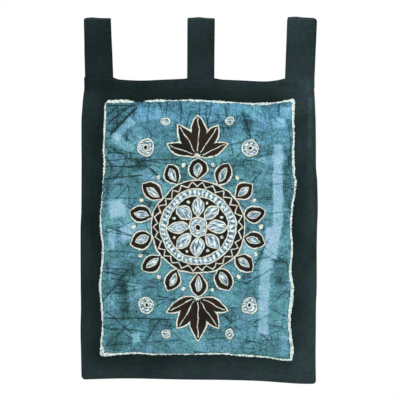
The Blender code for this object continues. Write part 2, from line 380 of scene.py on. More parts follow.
@dataclass(frozen=True)
class HangShape:
    """The form in which the cloth hangs, as functions of place."""

    half_width: float = 250.0
    middle_y: float = -2.85
    strip_width: float = 57.5
    held_beside_tab: float = 8.0
    held_eases_over: float = 30.0
    held_below_heading: float = 60.0
    seam_overlap: float = 21.0
    fold_end_share: float = 0.3
    top_corner: float = 3.5
    bottom_left_corner: float = 9.0
    bottom_right_corner: float = 7.0
    stitch_inset: float = 18.0
    fold_proud: float = 0.5
    upright_waves: Waves = Waves(0.22, 17.0, 1.3, 61.0, 43.0, 90.0)
    level_waves: Waves = Waves(0.16, 12.5, 1.7, 47.0, 33.0, -71.0)
    crease_sway: float = 2.0
    crease_turns: float = 5.0
    crease_end_share: float = 0.4
    hem_ridges: tuple[Ridge, ...] = (Ridge(18.0, 0.34, 1.1), Ridge(9.5, 0.3, 1.2), Ridge(10.0, -0.35, 5.0))
    pucker_depth: float = 0.11
    pucker_reach: float = 7.0
    pucker_length: float = 2.6
    pucker_bend: float = 2.2
    pucker_bend_length: float = 11.0
    beat: float = 0.7
    beat_length: float = 4.3
    beat_start: float = 1.1

    @property
    def height(self) -> float:
        """The cloth's finished height at its left side."""
        return TOP_EDGE[0].z - BOTTOM_EDGE[0].z

    @property
    def width(self) -> float:
        """The cloth's finished width."""
        return 2.0 * self.half_width

    def held(self, x: np.ndarray, z: np.ndarray) -> np.ndarray:
        """1 where a tab holds the heading flat, and 0 where the cloth is free."""
        across = np.zeros_like(x)
        for tab in TABS:
            beyond = np.abs(x - tab.left_foot - self.strip_width / 2.0) - self.strip_width / 2.0
            beside = (beyond - self.held_beside_tab) / self.held_eases_over
            across = np.maximum(across, 1.0 - eased(beside))
        below = (TOP_EDGE[0].z - self.seam_overlap - z) / self.held_below_heading
        return across * (1.0 - eased(below))

    def folds(self, x: np.ndarray, z: np.ndarray) -> np.ndarray:
        """How far the main folds take the cloth behind its plane."""
        depth = np.zeros_like(x)
        for fold in FOLDS:
            share = (fold.z_top - z) / (fold.z_top - fold.z_bottom)
            middle = fold.x_top + (fold.x_bottom - fold.x_top) * share
            fade = between_ends(share, self.fold_end_share)
            depth += fold.depth * fade * mound(x - middle, fold.width)
        return depth

    def creases(self, x: np.ndarray, z: np.ndarray) -> np.ndarray:
        """The small creases and the cloth's soft unevenness."""
        depth = self.upright_waves.at(x, z) + self.level_waves.at(z, x)
        for crease in CREASES:
            run_x, run_z = crease.x_end - crease.x_start, crease.z_end - crease.z_start
            length = hypot(run_x, run_z)
            along = ((x - crease.x_start) * run_x + (z - crease.z_start) * run_z) / length**2
            aside = ((x - crease.x_start) * run_z - (z - crease.z_start) * run_x) / length
            aside = aside + self.crease_sway * np.sin(along * self.crease_turns + crease.x_start)
            fade = between_ends(along, self.crease_end_share)
            depth += crease.depth * fade * mound(aside, crease.width)
        return depth

    def puckers(self, side: np.ndarray, end: np.ndarray, x: np.ndarray, z: np.ndarray) -> np.ndarray:
        """The hem's sewn line and the small ripples that it draws into the cloth.

        Args:
            side: distance from the nearer side edge.
            end: distance from the nearer top or bottom edge.
            x: place across.
            z: height.

        Returns:
            The depth behind the cloth's plane.
        """
        inset = np.minimum(side, end)
        along = np.where(side < end, z, x)
        ridges = sum(ridge.depth * mound(inset - ridge.inset, ridge.width) for ridge in self.hem_ridges)
        bend = self.pucker_bend * np.sin(along / self.pucker_bend_length)
        beat = self.beat * np.sin(along / self.beat_length + self.beat_start)
        wave = np.sin(along / self.pucker_length + bend) + beat
        return ridges + self.pucker_depth * wave * mound(inset - self.stitch_inset, self.pucker_reach)

    def front(self, across: np.ndarray, down: np.ndarray) -> np.ndarray:
        """Points of the cloth's middle surface.

        Args:
            across: shares of the width, from the left edge.
            down: shares of the height, from the top edge.

        Returns:
            An array of x, y, z rows.
        """
        rough_x = self.half_width * (2.0 * across - 1.0)
        top, bottom = SmoothCurve(TOP_EDGE)(rough_x), SmoothCurve(BOTTOM_EDGE)(rough_x)
        top, bottom = top - self.fold_proud, bottom + self.fold_proud
        z = top + (bottom - top) * down
        half = self.half_width - self.fold_proud
        left = -half - SmoothCurve([(row.z, row.left_out) for row in SIDE_EDGES])(z)
        right = half + SmoothCurve([(row.z, row.right_out) for row in SIDE_EDGES])(z)
        x = left + (right - left) * across
        side = np.minimum(across, 1.0 - across) * self.width
        end = np.minimum(down, 1.0 - down) * self.height
        at_left, at_top = across < 0.5, down < 0.5
        corner = np.where(at_left, self.bottom_left_corner, self.bottom_right_corner)
        corner = np.where(at_top, self.top_corner, corner)
        near_side = np.clip(1.0 - side / corner, 0.0, 1.0)
        near_end = np.clip(1.0 - end / corner, 0.0, 1.0)
        inward = corner * near_side * (1.0 - np.sqrt(1.0 - near_end**2 / 2.0))
        x = x + np.where(at_left, inward, -inward)
        inward = corner * near_end * (1.0 - np.sqrt(1.0 - near_side**2 / 2.0))
        z = z + np.where(at_top, -inward, inward)
        small = self.creases(x, z) + self.puckers(side, end, x, z)
        y = self.middle_y + (self.folds(x, z) + small) * (1.0 - self.held(x, z))
        return np.stack([x, y, z], axis=-1)


# Shader sums


class Blots(NamedTuple):
    """Soft noise: its blots' size each way, its finer layers and its seed, and where spots lie in it."""

    size_x: float
    size_y: float
    detail: float
    seed: float
    low: float = 0.0
    high: float = 1.0


class Sway(NamedTuple):
    """How a drawing hand strays: the size of its strays, how far they reach, and their seed."""

    size: float
    reach: float
    seed: float


class Net(NamedTuple):
    """A net of cracks: its cells' size each way and seed, and how wide its lines are, in cells."""

    size_x: float
    size_y: float
    seed: float
    core: float = 0.0
    reach: float = 1.0


class Wire:
    """A shader node's output, on which Python's operators work."""

    def __init__(self, graph: Graph, socket: bpy.types.NodeSocket) -> None:
        """Keeps the socket and the graph that it belongs to."""
        self.graph = graph
        self.socket = socket

    def __add__(self, other: Wire | float) -> Wire:
        """self + other."""
        return self.graph.math("ADD", self, other)

    __radd__ = __add__

    def __sub__(self, other: Wire | float) -> Wire:
        """self - other."""
        return self.graph.math("SUBTRACT", self, other)

    def __rsub__(self, other: float) -> Wire:
        """other - self."""
        return self.graph.math("SUBTRACT", other, self)

    def __mul__(self, other: Wire | float) -> Wire:
        """self * other."""
        return self.graph.math("MULTIPLY", self, other)

    __rmul__ = __mul__

    def __truediv__(self, other: Wire | float) -> Wire:
        """self / other."""
        return self.graph.math("DIVIDE", self, other)

    def __neg__(self) -> Wire:
        """-self."""
        return self.graph.math("MULTIPLY", self, -1.0)

    def __abs__(self) -> Wire:
        """abs(self)."""
        return self.graph.math("ABSOLUTE", self)


class Graph:
    """A material's node tree, and the few nodes that its patterns are made of."""

    def __init__(self, name: str) -> None:
        """Starts a material of that name, with nothing but its output."""
        self.material = bpy.data.materials.new(name)
        self.material.use_nodes = True
        self.tree = self.material.node_tree
        self.tree.nodes.clear()

    def node(
        self,
        kind: str,
        settings: dict[str, object] | None = None,
        inputs: dict[str | int, object] | None = None,
        output: str | int = 0,
    ) -> Wire:
        """Adds a node.

        Args:
            kind: the node's type.
            settings: its properties, which are set first. "stops" are a ramp's places and colours.
            inputs: a value or a Wire for each input socket.
            output: the output to return.

        Returns:
            The node's output.
        """
        made = self.tree.nodes.new(kind)
        for name, value in (settings or {}).items():
            if name == "stops":
                self._set_stops(made.color_ramp, value)
            else:
                setattr(made, name, value)
        for name, value in (inputs or {}).items():
            if isinstance(value, Wire):
                self.tree.links.new(value.socket, made.inputs[name])
            else:
                made.inputs[name].default_value = value
        return Wire(self, made.outputs[output])

    @staticmethod
    def _set_stops(ramp: bpy.types.ColorRamp, stops: list[Stop]) -> None:
        """Sets a ramp's stops from their places and colours."""
        while len(ramp.elements) < len(stops):
            ramp.elements.new(1.0)
        for element, (place, colour) in zip(ramp.elements, stops):
            element.position = place
            element.color = (*colour, 1.0)

    def math(self, operation: str, first: Wire | float, second: Wire | float = 0.0) -> Wire:
        """A sum of two values."""
        return self.node("ShaderNodeMath", {"operation": operation}, {0: first, 1: second})

    def least(self, *values: Wire | float) -> Wire:
        """The smallest of some values."""
        return reduce(lambda first, second: self.math("MINIMUM", first, second), values)

    def most(self, first: Wire | float, second: Wire | float) -> Wire:
        """The larger of two values."""
        return self.math("MAXIMUM", first, second)

    def smooth(self, value: Wire, low: float | Wire, high: float | Wire) -> Wire:
        """0 at low and 1 at high, eased between them."""
        inputs = {0: value, 1: low, 2: high, 3: 0.0, 4: 1.0}
        return self.node("ShaderNodeMapRange", {"interpolation_type": "SMOOTHSTEP"}, inputs)

    def ease(self, value: Wire, start: float, end: float) -> Wire:
        """1 at and below start, falling to 0 at end."""
        inputs = {0: value, 1: start, 2: end, 3: 1.0, 4: 0.0}
        return self.node("ShaderNodeMapRange", {"interpolation_type": "SMOOTHSTEP"}, inputs)

    def vector(self, operation: str, *inputs: object, output: str | int = 0) -> Wire:
        """A sum of vectors."""
        numbered = dict(enumerate(inputs))
        return self.node("ShaderNodeVectorMath", {"operation": operation}, numbered, output)

    def dot(self, place: Wire, direction: Vector) -> Wire:
        """How far a place lies along a direction."""
        return self.vector("DOT_PRODUCT", place, direction, output="Value")

    def mix(self, share: Wire | float, first: Wire | Colour, second: Wire | Colour) -> Wire:
        """A colour between two, the second one where the share is 1."""
        first = first if isinstance(first, Wire) else (*first, 1.0)
        second = second if isinstance(second, Wire) else (*second, 1.0)
        return self.node("ShaderNodeMix", {"data_type": "RGBA"}, {0: share, 6: first, 7: second}, 2)

    def scaled(self, first: Wire | Colour, factor: Wire | float) -> Wire:
        """A colour or a vector times a value."""
        inputs = {0: first, "Scale": factor}
        return self.node("ShaderNodeVectorMath", {"operation": "SCALE"}, inputs)

    def ended(self, surface: dict[str, object]) -> bpy.types.Material:
        """Ends the graph in a Principled shader with these inputs, and returns the material."""
        shader = self.node("ShaderNodeBsdfPrincipled", {}, surface)
        output = self.tree.nodes.new("ShaderNodeOutputMaterial")
        self.tree.links.new(shader.socket, output.inputs["Surface"])
        return self.material

    def attribute(self, name: str) -> Wire:
        """A value that the mesh carries at its points."""
        return self.node("ShaderNodeAttribute", {"attribute_name": name}, output="Fac")

    def cloth_place(self) -> Wire:
        """The place on the piece's own cloth map, in millimetres."""
        return self.node("ShaderNodeUVMap", {"uv_map": CLOTH_MAP})

    def joined(self, x: Wire | float, y: Wire | float) -> Wire:
        """A place from its two distances."""
        return self.node("ShaderNodeCombineXYZ", {}, {0: x, 1: y})

    def stretched(self, place: Wire, size_x: float, size_y: float, seed: float) -> Wire:
        """A place in units of the given sizes, moved on by a seed."""
        scaled = self.vector("MULTIPLY", place, (1.0 / size_x, 1.0 / size_y, 1.0))
        return self.vector("ADD", scaled, (seed, seed * 0.7, seed * 0.3))

    def noise(self, place: Wire, blots: Blots, output: str | int = 0) -> Wire:
        """Soft noise about 0.5."""
        where = self.stretched(place, blots.size_x, blots.size_y, blots.seed)
        inputs = {"Vector": where, "Scale": 1.0, "Detail": blots.detail}
        return self.node("ShaderNodeTexNoise", {"noise_dimensions": "2D"}, inputs, output)

    def uneven(self, place: Wire, blots: Blots) -> Wire:
        """Soft noise about 0."""
        return self.noise(place, blots) - 0.5

    def spots(self, place: Wire, blots: Blots) -> Wire:
        """1 in the spots where the noise is high, and 0 outside them."""
        return self.smooth(self.noise(place, blots), blots.low, blots.high)

    def wobble(self, place: Wire, *sways: Sway) -> Wire:
        """A place moved about at random, once for each sway, as a drawing hand does."""
        for sway in sways:
            drift = self.noise(place, Blots(sway.size, sway.size, 1.0, sway.seed), "Color")
            centred = self.vector("SUBTRACT", drift, (0.5, 0.5, 0.5))
            place = self.vector("ADD", place, self.scaled(centred, sway.reach))
        return place

    def cells(self, place: Wire, net: Net, feature: str, output: str) -> Wire:
        """What a feature of a net's cells gives at a place."""
        settings = {"voronoi_dimensions": "2D", "feature": feature}
        where = self.stretched(place, net.size_x, net.size_y, net.seed)
        return self.node("ShaderNodeTexVoronoi", settings, {"Vector": where, "Scale": 1.0}, output)

    def net(self, place: Wire, net: Net) -> Wire:
        """1 on the lines of a net, and 0 beside them."""
        return self.ease(self.cells(place, net, "DISTANCE_TO_EDGE", "Distance"), net.core, net.reach)


class Finish(Enum):
    """The record's material slots."""

    BATIK = "batik_cotton"
    DARK = "dark_cotton"


@dataclass(frozen=True)
class Weave:
    """Plain-weave cotton: its threads, its thicker places and its fuzz."""

    thread_pitch: float = 0.55
    thread_height: float = 0.05
    slubs_across: Blots = Blots(34.0, 0.9, 1.0, 3.1)
    slubs_along: Blots = Blots(0.9, 34.0, 1.0, 8.4)
    slub_height: float = 0.1
    crumple: Blots = Blots(16.0, 16.0, 3.0, 5.7)
    crumple_height: float = 0.5
    flecks: tuple[tuple[Blots, float], ...] = (
        (Blots(30.0, 2.2, 2.0, 1.9), 0.5),
        (Blots(2.2, 30.0, 2.0, 4.2), 0.3),
        (Blots(3.4, 3.4, 3.0, 6.6), 0.7),
        (Blots(9.0, 9.0, 2.0, 7.7), 0.5),
    )
    relief: float = 0.7
    specular: float = 0.06
    sheen: float = 0.03
    sheen_roughness: float = 0.5

    def height(self, graph: Graph, place: Wire) -> Wire:
        """The cloth's fine relief, in millimetres."""
        turn = 2.0 * pi / self.thread_pitch
        warp = graph.math("SINE", graph.dot(place, (turn, 0.0, 0.0)))
        weft = graph.math("SINE", graph.dot(place, (0.0, turn, 0.0)))
        threads = warp * weft * self.thread_height
        slubs = graph.noise(place, self.slubs_across) + graph.noise(place, self.slubs_along)
        crumple = graph.noise(place, self.crumple) * self.crumple_height
        return threads + slubs * self.slub_height + crumple

    def fleck(self, graph: Graph, place: Wire) -> Wire:
        """How unevenly the threads took the dye, about 1."""
        parts = [graph.noise(place, blots) * share for blots, share in self.flecks]
        return sum(parts[1:], parts[0])

    def finish(self, graph: Graph, place: Wire, colour: Wire, roughness: float) -> bpy.types.Material:
        """Ends a cotton's graph in its shader.

        Args:
            graph: the material's graph.
            place: the place on the cloth map.
            colour: the dyed colour.
            roughness: of the cloth.

        Returns:
            The material.
        """
        relief = {"Height": self.height(graph, place), "Distance": MM, "Strength": self.relief}
        surface = {
            "Base Color": colour,
            "Roughness": roughness,
            "Specular IOR Level": self.specular,
            "Sheen Weight": self.sheen,
            "Sheen Roughness": self.sheen_roughness,
            "Normal": graph.node("ShaderNodeBump", {}, relief),
        }
        return graph.ended(surface)


@dataclass(frozen=True)
class DarkCotton:
    """The dark slate green of the border and the tabs, and the bluer, paler one where the dye has paled and
    where light is painted on.
    """

    # From deep to faded_and_lit the cloth turns paler and bluer, as its dye paled and as light is painted on
    # it from the right and from below; worn_and_lit is the palest, on painted highlight streaks along ridges
    # and on the tabs' painted highlights.
    deep: Colour = (0.0046, 0.0120, 0.0117)
    faded_and_lit: Colour = (0.0230, 0.0400, 0.0430)
    worn_and_lit: Colour = (0.048, 0.080, 0.086)
    greener: Colour = (0.97, 1.02, 0.94)
    bluer: Colour = (1.01, 0.97, 1.08)
    cloud: Blots = Blots(60.0, 90.0, 3.0, 2.3)
    cloud_reach: float = 0.7
    pales_over: Range = (-0.1, 1.1)
    worn_and_lit_over: Range = (0.95, 1.9)
    worn_and_lit_share: float = 0.7
    hue: Blots = Blots(26.0, 34.0, 3.0, 14.6, 0.36, 0.64)

    def colour(self, graph: Graph, place: Wire, fading_and_light: Wire | float) -> Wire:
        """The dyed colour.

        Args:
            graph: the material's graph.
            place: the place on the cloth map.
            fading_and_light: how pale the cloth is here, from 0 to 1, with its dye paled and light painted
                on it.

        Returns:
            The colour, with the cloud, the hue and the fleck of the dye.
        """
        # The paleness here is paled dye together with painted light.
        fading_and_light = graph.uneven(place, self.cloud) * self.cloud_reach + fading_and_light
        dyed = graph.mix(graph.smooth(fading_and_light, *self.pales_over), self.deep, self.faded_and_lit)
        dyed = graph.mix(graph.smooth(fading_and_light, *self.worn_and_lit_over) * self.worn_and_lit_share, dyed, self.worn_and_lit)
        hue = graph.mix(graph.spots(place, self.hue), self.greener, self.bluer)
        dyed = graph.vector("MULTIPLY", dyed, hue)
        return graph.scaled(dyed, Weave().fleck(graph, place))


@dataclass(frozen=True)
class TabCotton:
    """The tabs' cotton, with light and shade painted on it: a highlight along the fold over the rod and a
    line below it, a rim and seam lines along the edges, a crease, and a band above the heading.

    Each Range here is a distance at which a line or band is full and one at which it ends.
    """

    roughness: float = 0.86
    even_paleness: float = 0.5
    ragged: Blots = Blots(9.0, 9.0, 2.0, 0.0)
    ragged_reach: float = 3.0
    # Painted highlight: the top of the tab, where it turns over the rod and faces up to the light, is
    # painted paler, speckled with worn_and_lit.
    top_band: Range = (1.0, 8.0)
    top_highlight: float = 0.20
    top_highlight_if_paler: float = 0.26
    # A painted highlight line just below the fold.
    fold_band: Range = (9.5, 12.5)
    fold_highlight: float = 0.16
    worn_highlight: Blots = Blots(3.0, 3.0, 3.0, 9.1)
    worn_highlight_strength: float = 1.6
    # The rim along the tab's edges is painted paler as a highlight on the lit tabs and darker as painted
    # shade on the shaded one.
    rim: Range = (0.4, 2.0)
    rim_light_strength: float = 0.6
    # Painted shade in lines beside the pressed topstitch seam, and a painted highlight on the seam between
    # them.
    seam_shade_lines: tuple[Pair, ...] = ((3.4, -0.13), (5.5, 0.12), (7.6, -0.12))
    seam_shade_line: Range = (0.3, 1.3)
    # A painted shade line along a crease below the fold, and a painted highlight line beside it, made
    # uneven.
    crease_place: float = 12.4
    creases: tuple[Pair, ...] = ((0.0, -0.22), (2.3, 0.30))
    crease: Range = (0.4, 1.6)
    crease_shade_blots: Blots = Blots(14.0, 14.0, 2.0, 12.3)
    crease_shade_least: float = 0.5
    # A band just above the heading's edge, where the tab dips behind the heading: painted shade on the
    # shaded tabs, painted light on the lit right one.
    seam_place: float = 15.0
    seam_shade_band: Range = (2.0, 8.0)
    seam_shade_strength: float = 0.45

    def make(self, name: str, fold: float, fading_and_light: float) -> bpy.types.Material:
        """Makes the finish of one tab.

        Args:
            name: the material's name.
            fold: how far the fold is from the tab's front end, along the cloth.
            fading_and_light: how pale the tab is, from 0 to 1, from its paled dye and the light painted on
                it.

        Returns:
            The material.
        """
        graph = Graph(name)
        place = graph.cloth_place()
        dark = DarkCotton()
        colour = dark.colour(graph, place, fading_and_light)
        from_fold = abs(graph.dot(place, ALONG) - fold)
        # Painted highlight on the top band and on the line below the fold, speckled by worn_highlight.
        ragged = from_fold + graph.uneven(place, self.ragged) * self.ragged_reach
        fade = graph.ease(ragged, *self.top_band) * (self.top_highlight + self.top_highlight_if_paler * fading_and_light)
        fade = fade + graph.ease(ragged, *self.fold_band) * self.fold_highlight
        worn_highlight = fade * graph.noise(place, self.worn_highlight) * self.worn_highlight_strength
        colour = graph.mix(worn_highlight, colour, dark.worn_and_lit)
        edge = graph.attribute("edge")
        # The rim's painted highlight and painted shade follow how pale the tab is painted.
        paler_than_even = fading_and_light - self.even_paleness
        tone = 1.0 + graph.ease(edge, *self.rim) * (paler_than_even * self.rim_light_strength)
        # Painted shade and highlight lines of the topstitch seam.
        for reach, strength in self.seam_shade_lines:
            tone = tone + graph.ease(abs(edge - reach), *self.seam_shade_line) * strength
        # Painted shade and highlight lines of the crease.
        uneven = self.crease_shade_least + graph.noise(place, self.crease_shade_blots)
        for reach, strength in self.creases:
            line = graph.ease(abs(from_fold - self.crease_place - reach), *self.crease)
            tone = tone + line * uneven * strength
        # Painted shade, or painted light on the lit tab, in the band above the heading.
        from_seam = abs(fold - from_fold - self.seam_place)
        tone = tone + graph.ease(from_seam, *self.seam_shade_band) * (paler_than_even * self.seam_shade_strength)
        return Weave().finish(graph, place, graph.scaled(colour, tone), self.roughness)


@dataclass(frozen=True)
class Dyes:
    """The batik's colours."""

    cream: Colour = (0.74, 0.78, 0.66)
    stained_cream: Colour = (0.46, 0.53, 0.34)
    pink_cream: Colour = (0.70, 0.58, 0.47)
    white: Colour = (0.72, 0.83, 0.86)
    stroke_blue: Colour = (0.20, 0.33, 0.41)
    stroke_slate: Colour = (0.055, 0.095, 0.115)
    brown: Colour = (0.0245, 0.0148, 0.0105)
    black_brown: Colour = (0.0118, 0.0102, 0.0085)
    vein: Colour = (0.010, 0.040, 0.050)
    cool: Colour = (0.92, 1.0, 1.1)
    azure: Colour = (0.90, 1.0, 1.20)
    teal: Colour = (0.84, 1.0, 0.80)
    lilac: Colour = (1.2, 0.97, 1.12)

    @property
    def blues(self) -> list[Stop]:
        """The ground's blues, from the least dye to the most."""
        return [
            (0.0, (0.43, 0.61, 0.70)),
            (0.22, (0.25, 0.46, 0.57)),
            (0.42, (0.127, 0.32, 0.42)),
            (0.60, (0.071, 0.205, 0.262)),
            (0.80, (0.037, 0.098, 0.115)),
            (1.0, (0.012, 0.040, 0.046)),
        ]

    @property
    def strokes(self) -> list[Stop]:
        """The slate, blue and white of brush strokes."""
        darks = [(0.34, self.stroke_slate), (0.42, self.stroke_blue)]
        return darks + [(0.50, self.stroke_blue), (0.56, self.white)]


DYES = Dyes()


@dataclass(frozen=True)
class WaxLine:
    """Cotton that wax kept undyed, stained and crackled, and the dye that pooled beside it."""

    stains: Blots = Blots(8.0, 8.0, 3.0, 3.0, 0.5, 0.74)
    stain_share: float = 0.7
    thin: Blots = Blots(4.0, 4.0, 2.0, 6.0, 0.5, 0.68)
    thin_share: float = 0.5
    sway: Sway = Sway(9.0, 6.0, 2.5)
    hairlines: Net = Net(19.0, 15.0, 5.0, 0.01, 0.07)
    broken: Blots = Blots(15.0, 15.0, 1.0, 5.0, 0.42, 0.6)
    hairline_share: float = 0.75
    pool: Range = (0.2, 2.4)
    pool_share: float = 0.62

    def white(self, graph: Graph, place: Wire) -> Wire:
        """The undyed cotton, stained and crackled here and there."""
        cream = graph.mix(graph.spots(place, self.stains) * self.stain_share, DYES.cream, DYES.stained_cream)
        cream = graph.mix(graph.spots(place, self.thin) * self.thin_share, cream, DYES.stroke_blue)
        hairlines = graph.net(graph.wobble(place, self.sway), self.hairlines)
        broken = graph.spots(place, self.broken)
        return graph.mix(hairlines * broken * self.hairline_share, cream, DYES.vein)

    def pooled(self, graph: Graph, from_line: Wire, colour: Wire) -> Wire:
        """Darkens a colour beside a wax line."""
        return graph.mix(graph.ease(from_line, *self.pool) * self.pool_share, colour, DYES.vein)


class CrackFamily(NamedTuple):
    """Many straight cracks of the wax that run one way, in rows."""

    angle: float
    spacing: float
    length: float
    half_width: float
    dye: float
    steep: bool


CRACK_FAMILIES = table(
    CrackFamily,
    (2, 30, 104, 0.6, 0.52, False), (-12, 42, 128, 0.7, 0.54, False), (16, 47, 96, 0.6, 0.48, False),
    (-38, 52, 92, 0.8, 0.48, False), (49, 56, 104, 0.7, 0.46, False), (-7, 13, 52, 0.45, 0.13, False),
    (82, 34, 62, 0.7, 0.48, True), (101, 44, 74, 0.8, 0.48, True), (72, 17, 38, 0.45, 0.12, True),
)


@dataclass(frozen=True)
class CrackLook:
    """How one crack of the wax looks: a dark core, and the dye that crept out of it.

    Widths are shares of the crack's half width, and ends are shares of its length.
    """

    core: Range = (0.5, 1.4)
    core_share: float = 0.9
    creep: float = 6.0
    creep_share: float = 0.14
    vein_end: Range = (0.42, 0.54)
    row_shift: float = 0.37
    there: Range = (0.3, 0.8)
    lean: float = 0.6
    middles: Pair = (0.5, 0.25)
    crack_end: Range = (0.3, 0.5)

    def line(self, graph: Graph, aside: Wire, half_width: float) -> Wire:
        """How dark a crack is at a distance from its middle."""
        core = graph.ease(aside, half_width * self.core[0], half_width * self.core[1])
        return core * self.core_share + graph.ease(aside, 0.0, half_width * self.creep) * self.creep_share

    def vein(self, graph: Graph, place: Wire, vein: Vein) -> Wire:
        """How dark one long vein is at a place."""
        run_x, run_z = vein.x_end - vein.x_start, vein.z_end - vein.z_start
        length = hypot(run_x, run_z)
        along_x, along_z = run_x / length, run_z / length
        middle_x, middle_z = (vein.x_start + vein.x_end) / 2.0, (vein.z_start + vein.z_end) / 2.0
        offset = middle_z * along_x - middle_x * along_z
        aside = abs(graph.dot(place, (-along_z, along_x, 0.0)) - offset)
        offset = middle_x * along_x + middle_z * along_z
        along = abs(graph.dot(place, (along_x, along_z, 0.0)) - offset)
        inner, outer = self.vein_end
        ends = graph.ease(along, length * inner, length * outer)
        return self.line(graph, aside, vein.half_width) * ends * vein.dye

    def family(self, graph: Graph, place: Wire, family: CrackFamily, seed: float) -> Wire:
        """How dark a family of straight cracks is at a place.

        Args:
            graph: the material's graph.
            place: the place on the cloth map.
            family: which way the cracks run, and how far apart.
            seed: another number gives other cracks.

        Returns:
            The added depth of dye.
        """
        turn = radians(family.angle)
        run = (cos(turn) / family.length, sin(turn) / family.length, 0.0)
        across = (-sin(turn) / family.spacing, cos(turn) / family.spacing, 0.0)
        aside = graph.dot(place, across) + seed
        row = graph.math("FLOOR", aside)
        along = graph.dot(place, run) + row * self.row_shift
        number = graph.math("FLOOR", along)
        settings, inputs = {"noise_dimensions": "2D"}, {"Vector": graph.joined(row, number)}
        chance = graph.node("ShaderNodeTexWhiteNoise", settings, inputs, "Color")
        there = graph.smooth(graph.dot(chance, ACROSS), *self.there)
        share = along - number - 0.5
        lean = (graph.dot(chance, ALONG) - 0.5) * share * self.lean
        spread, first = self.middles
        middle = graph.dot(chance, UPWARD) * spread + first
        distance = abs(aside - row - middle - lean) * family.spacing
        line = self.line(graph, distance, family.half_width)
        return line * graph.ease(abs(share), *self.crack_end) * there * family.dye


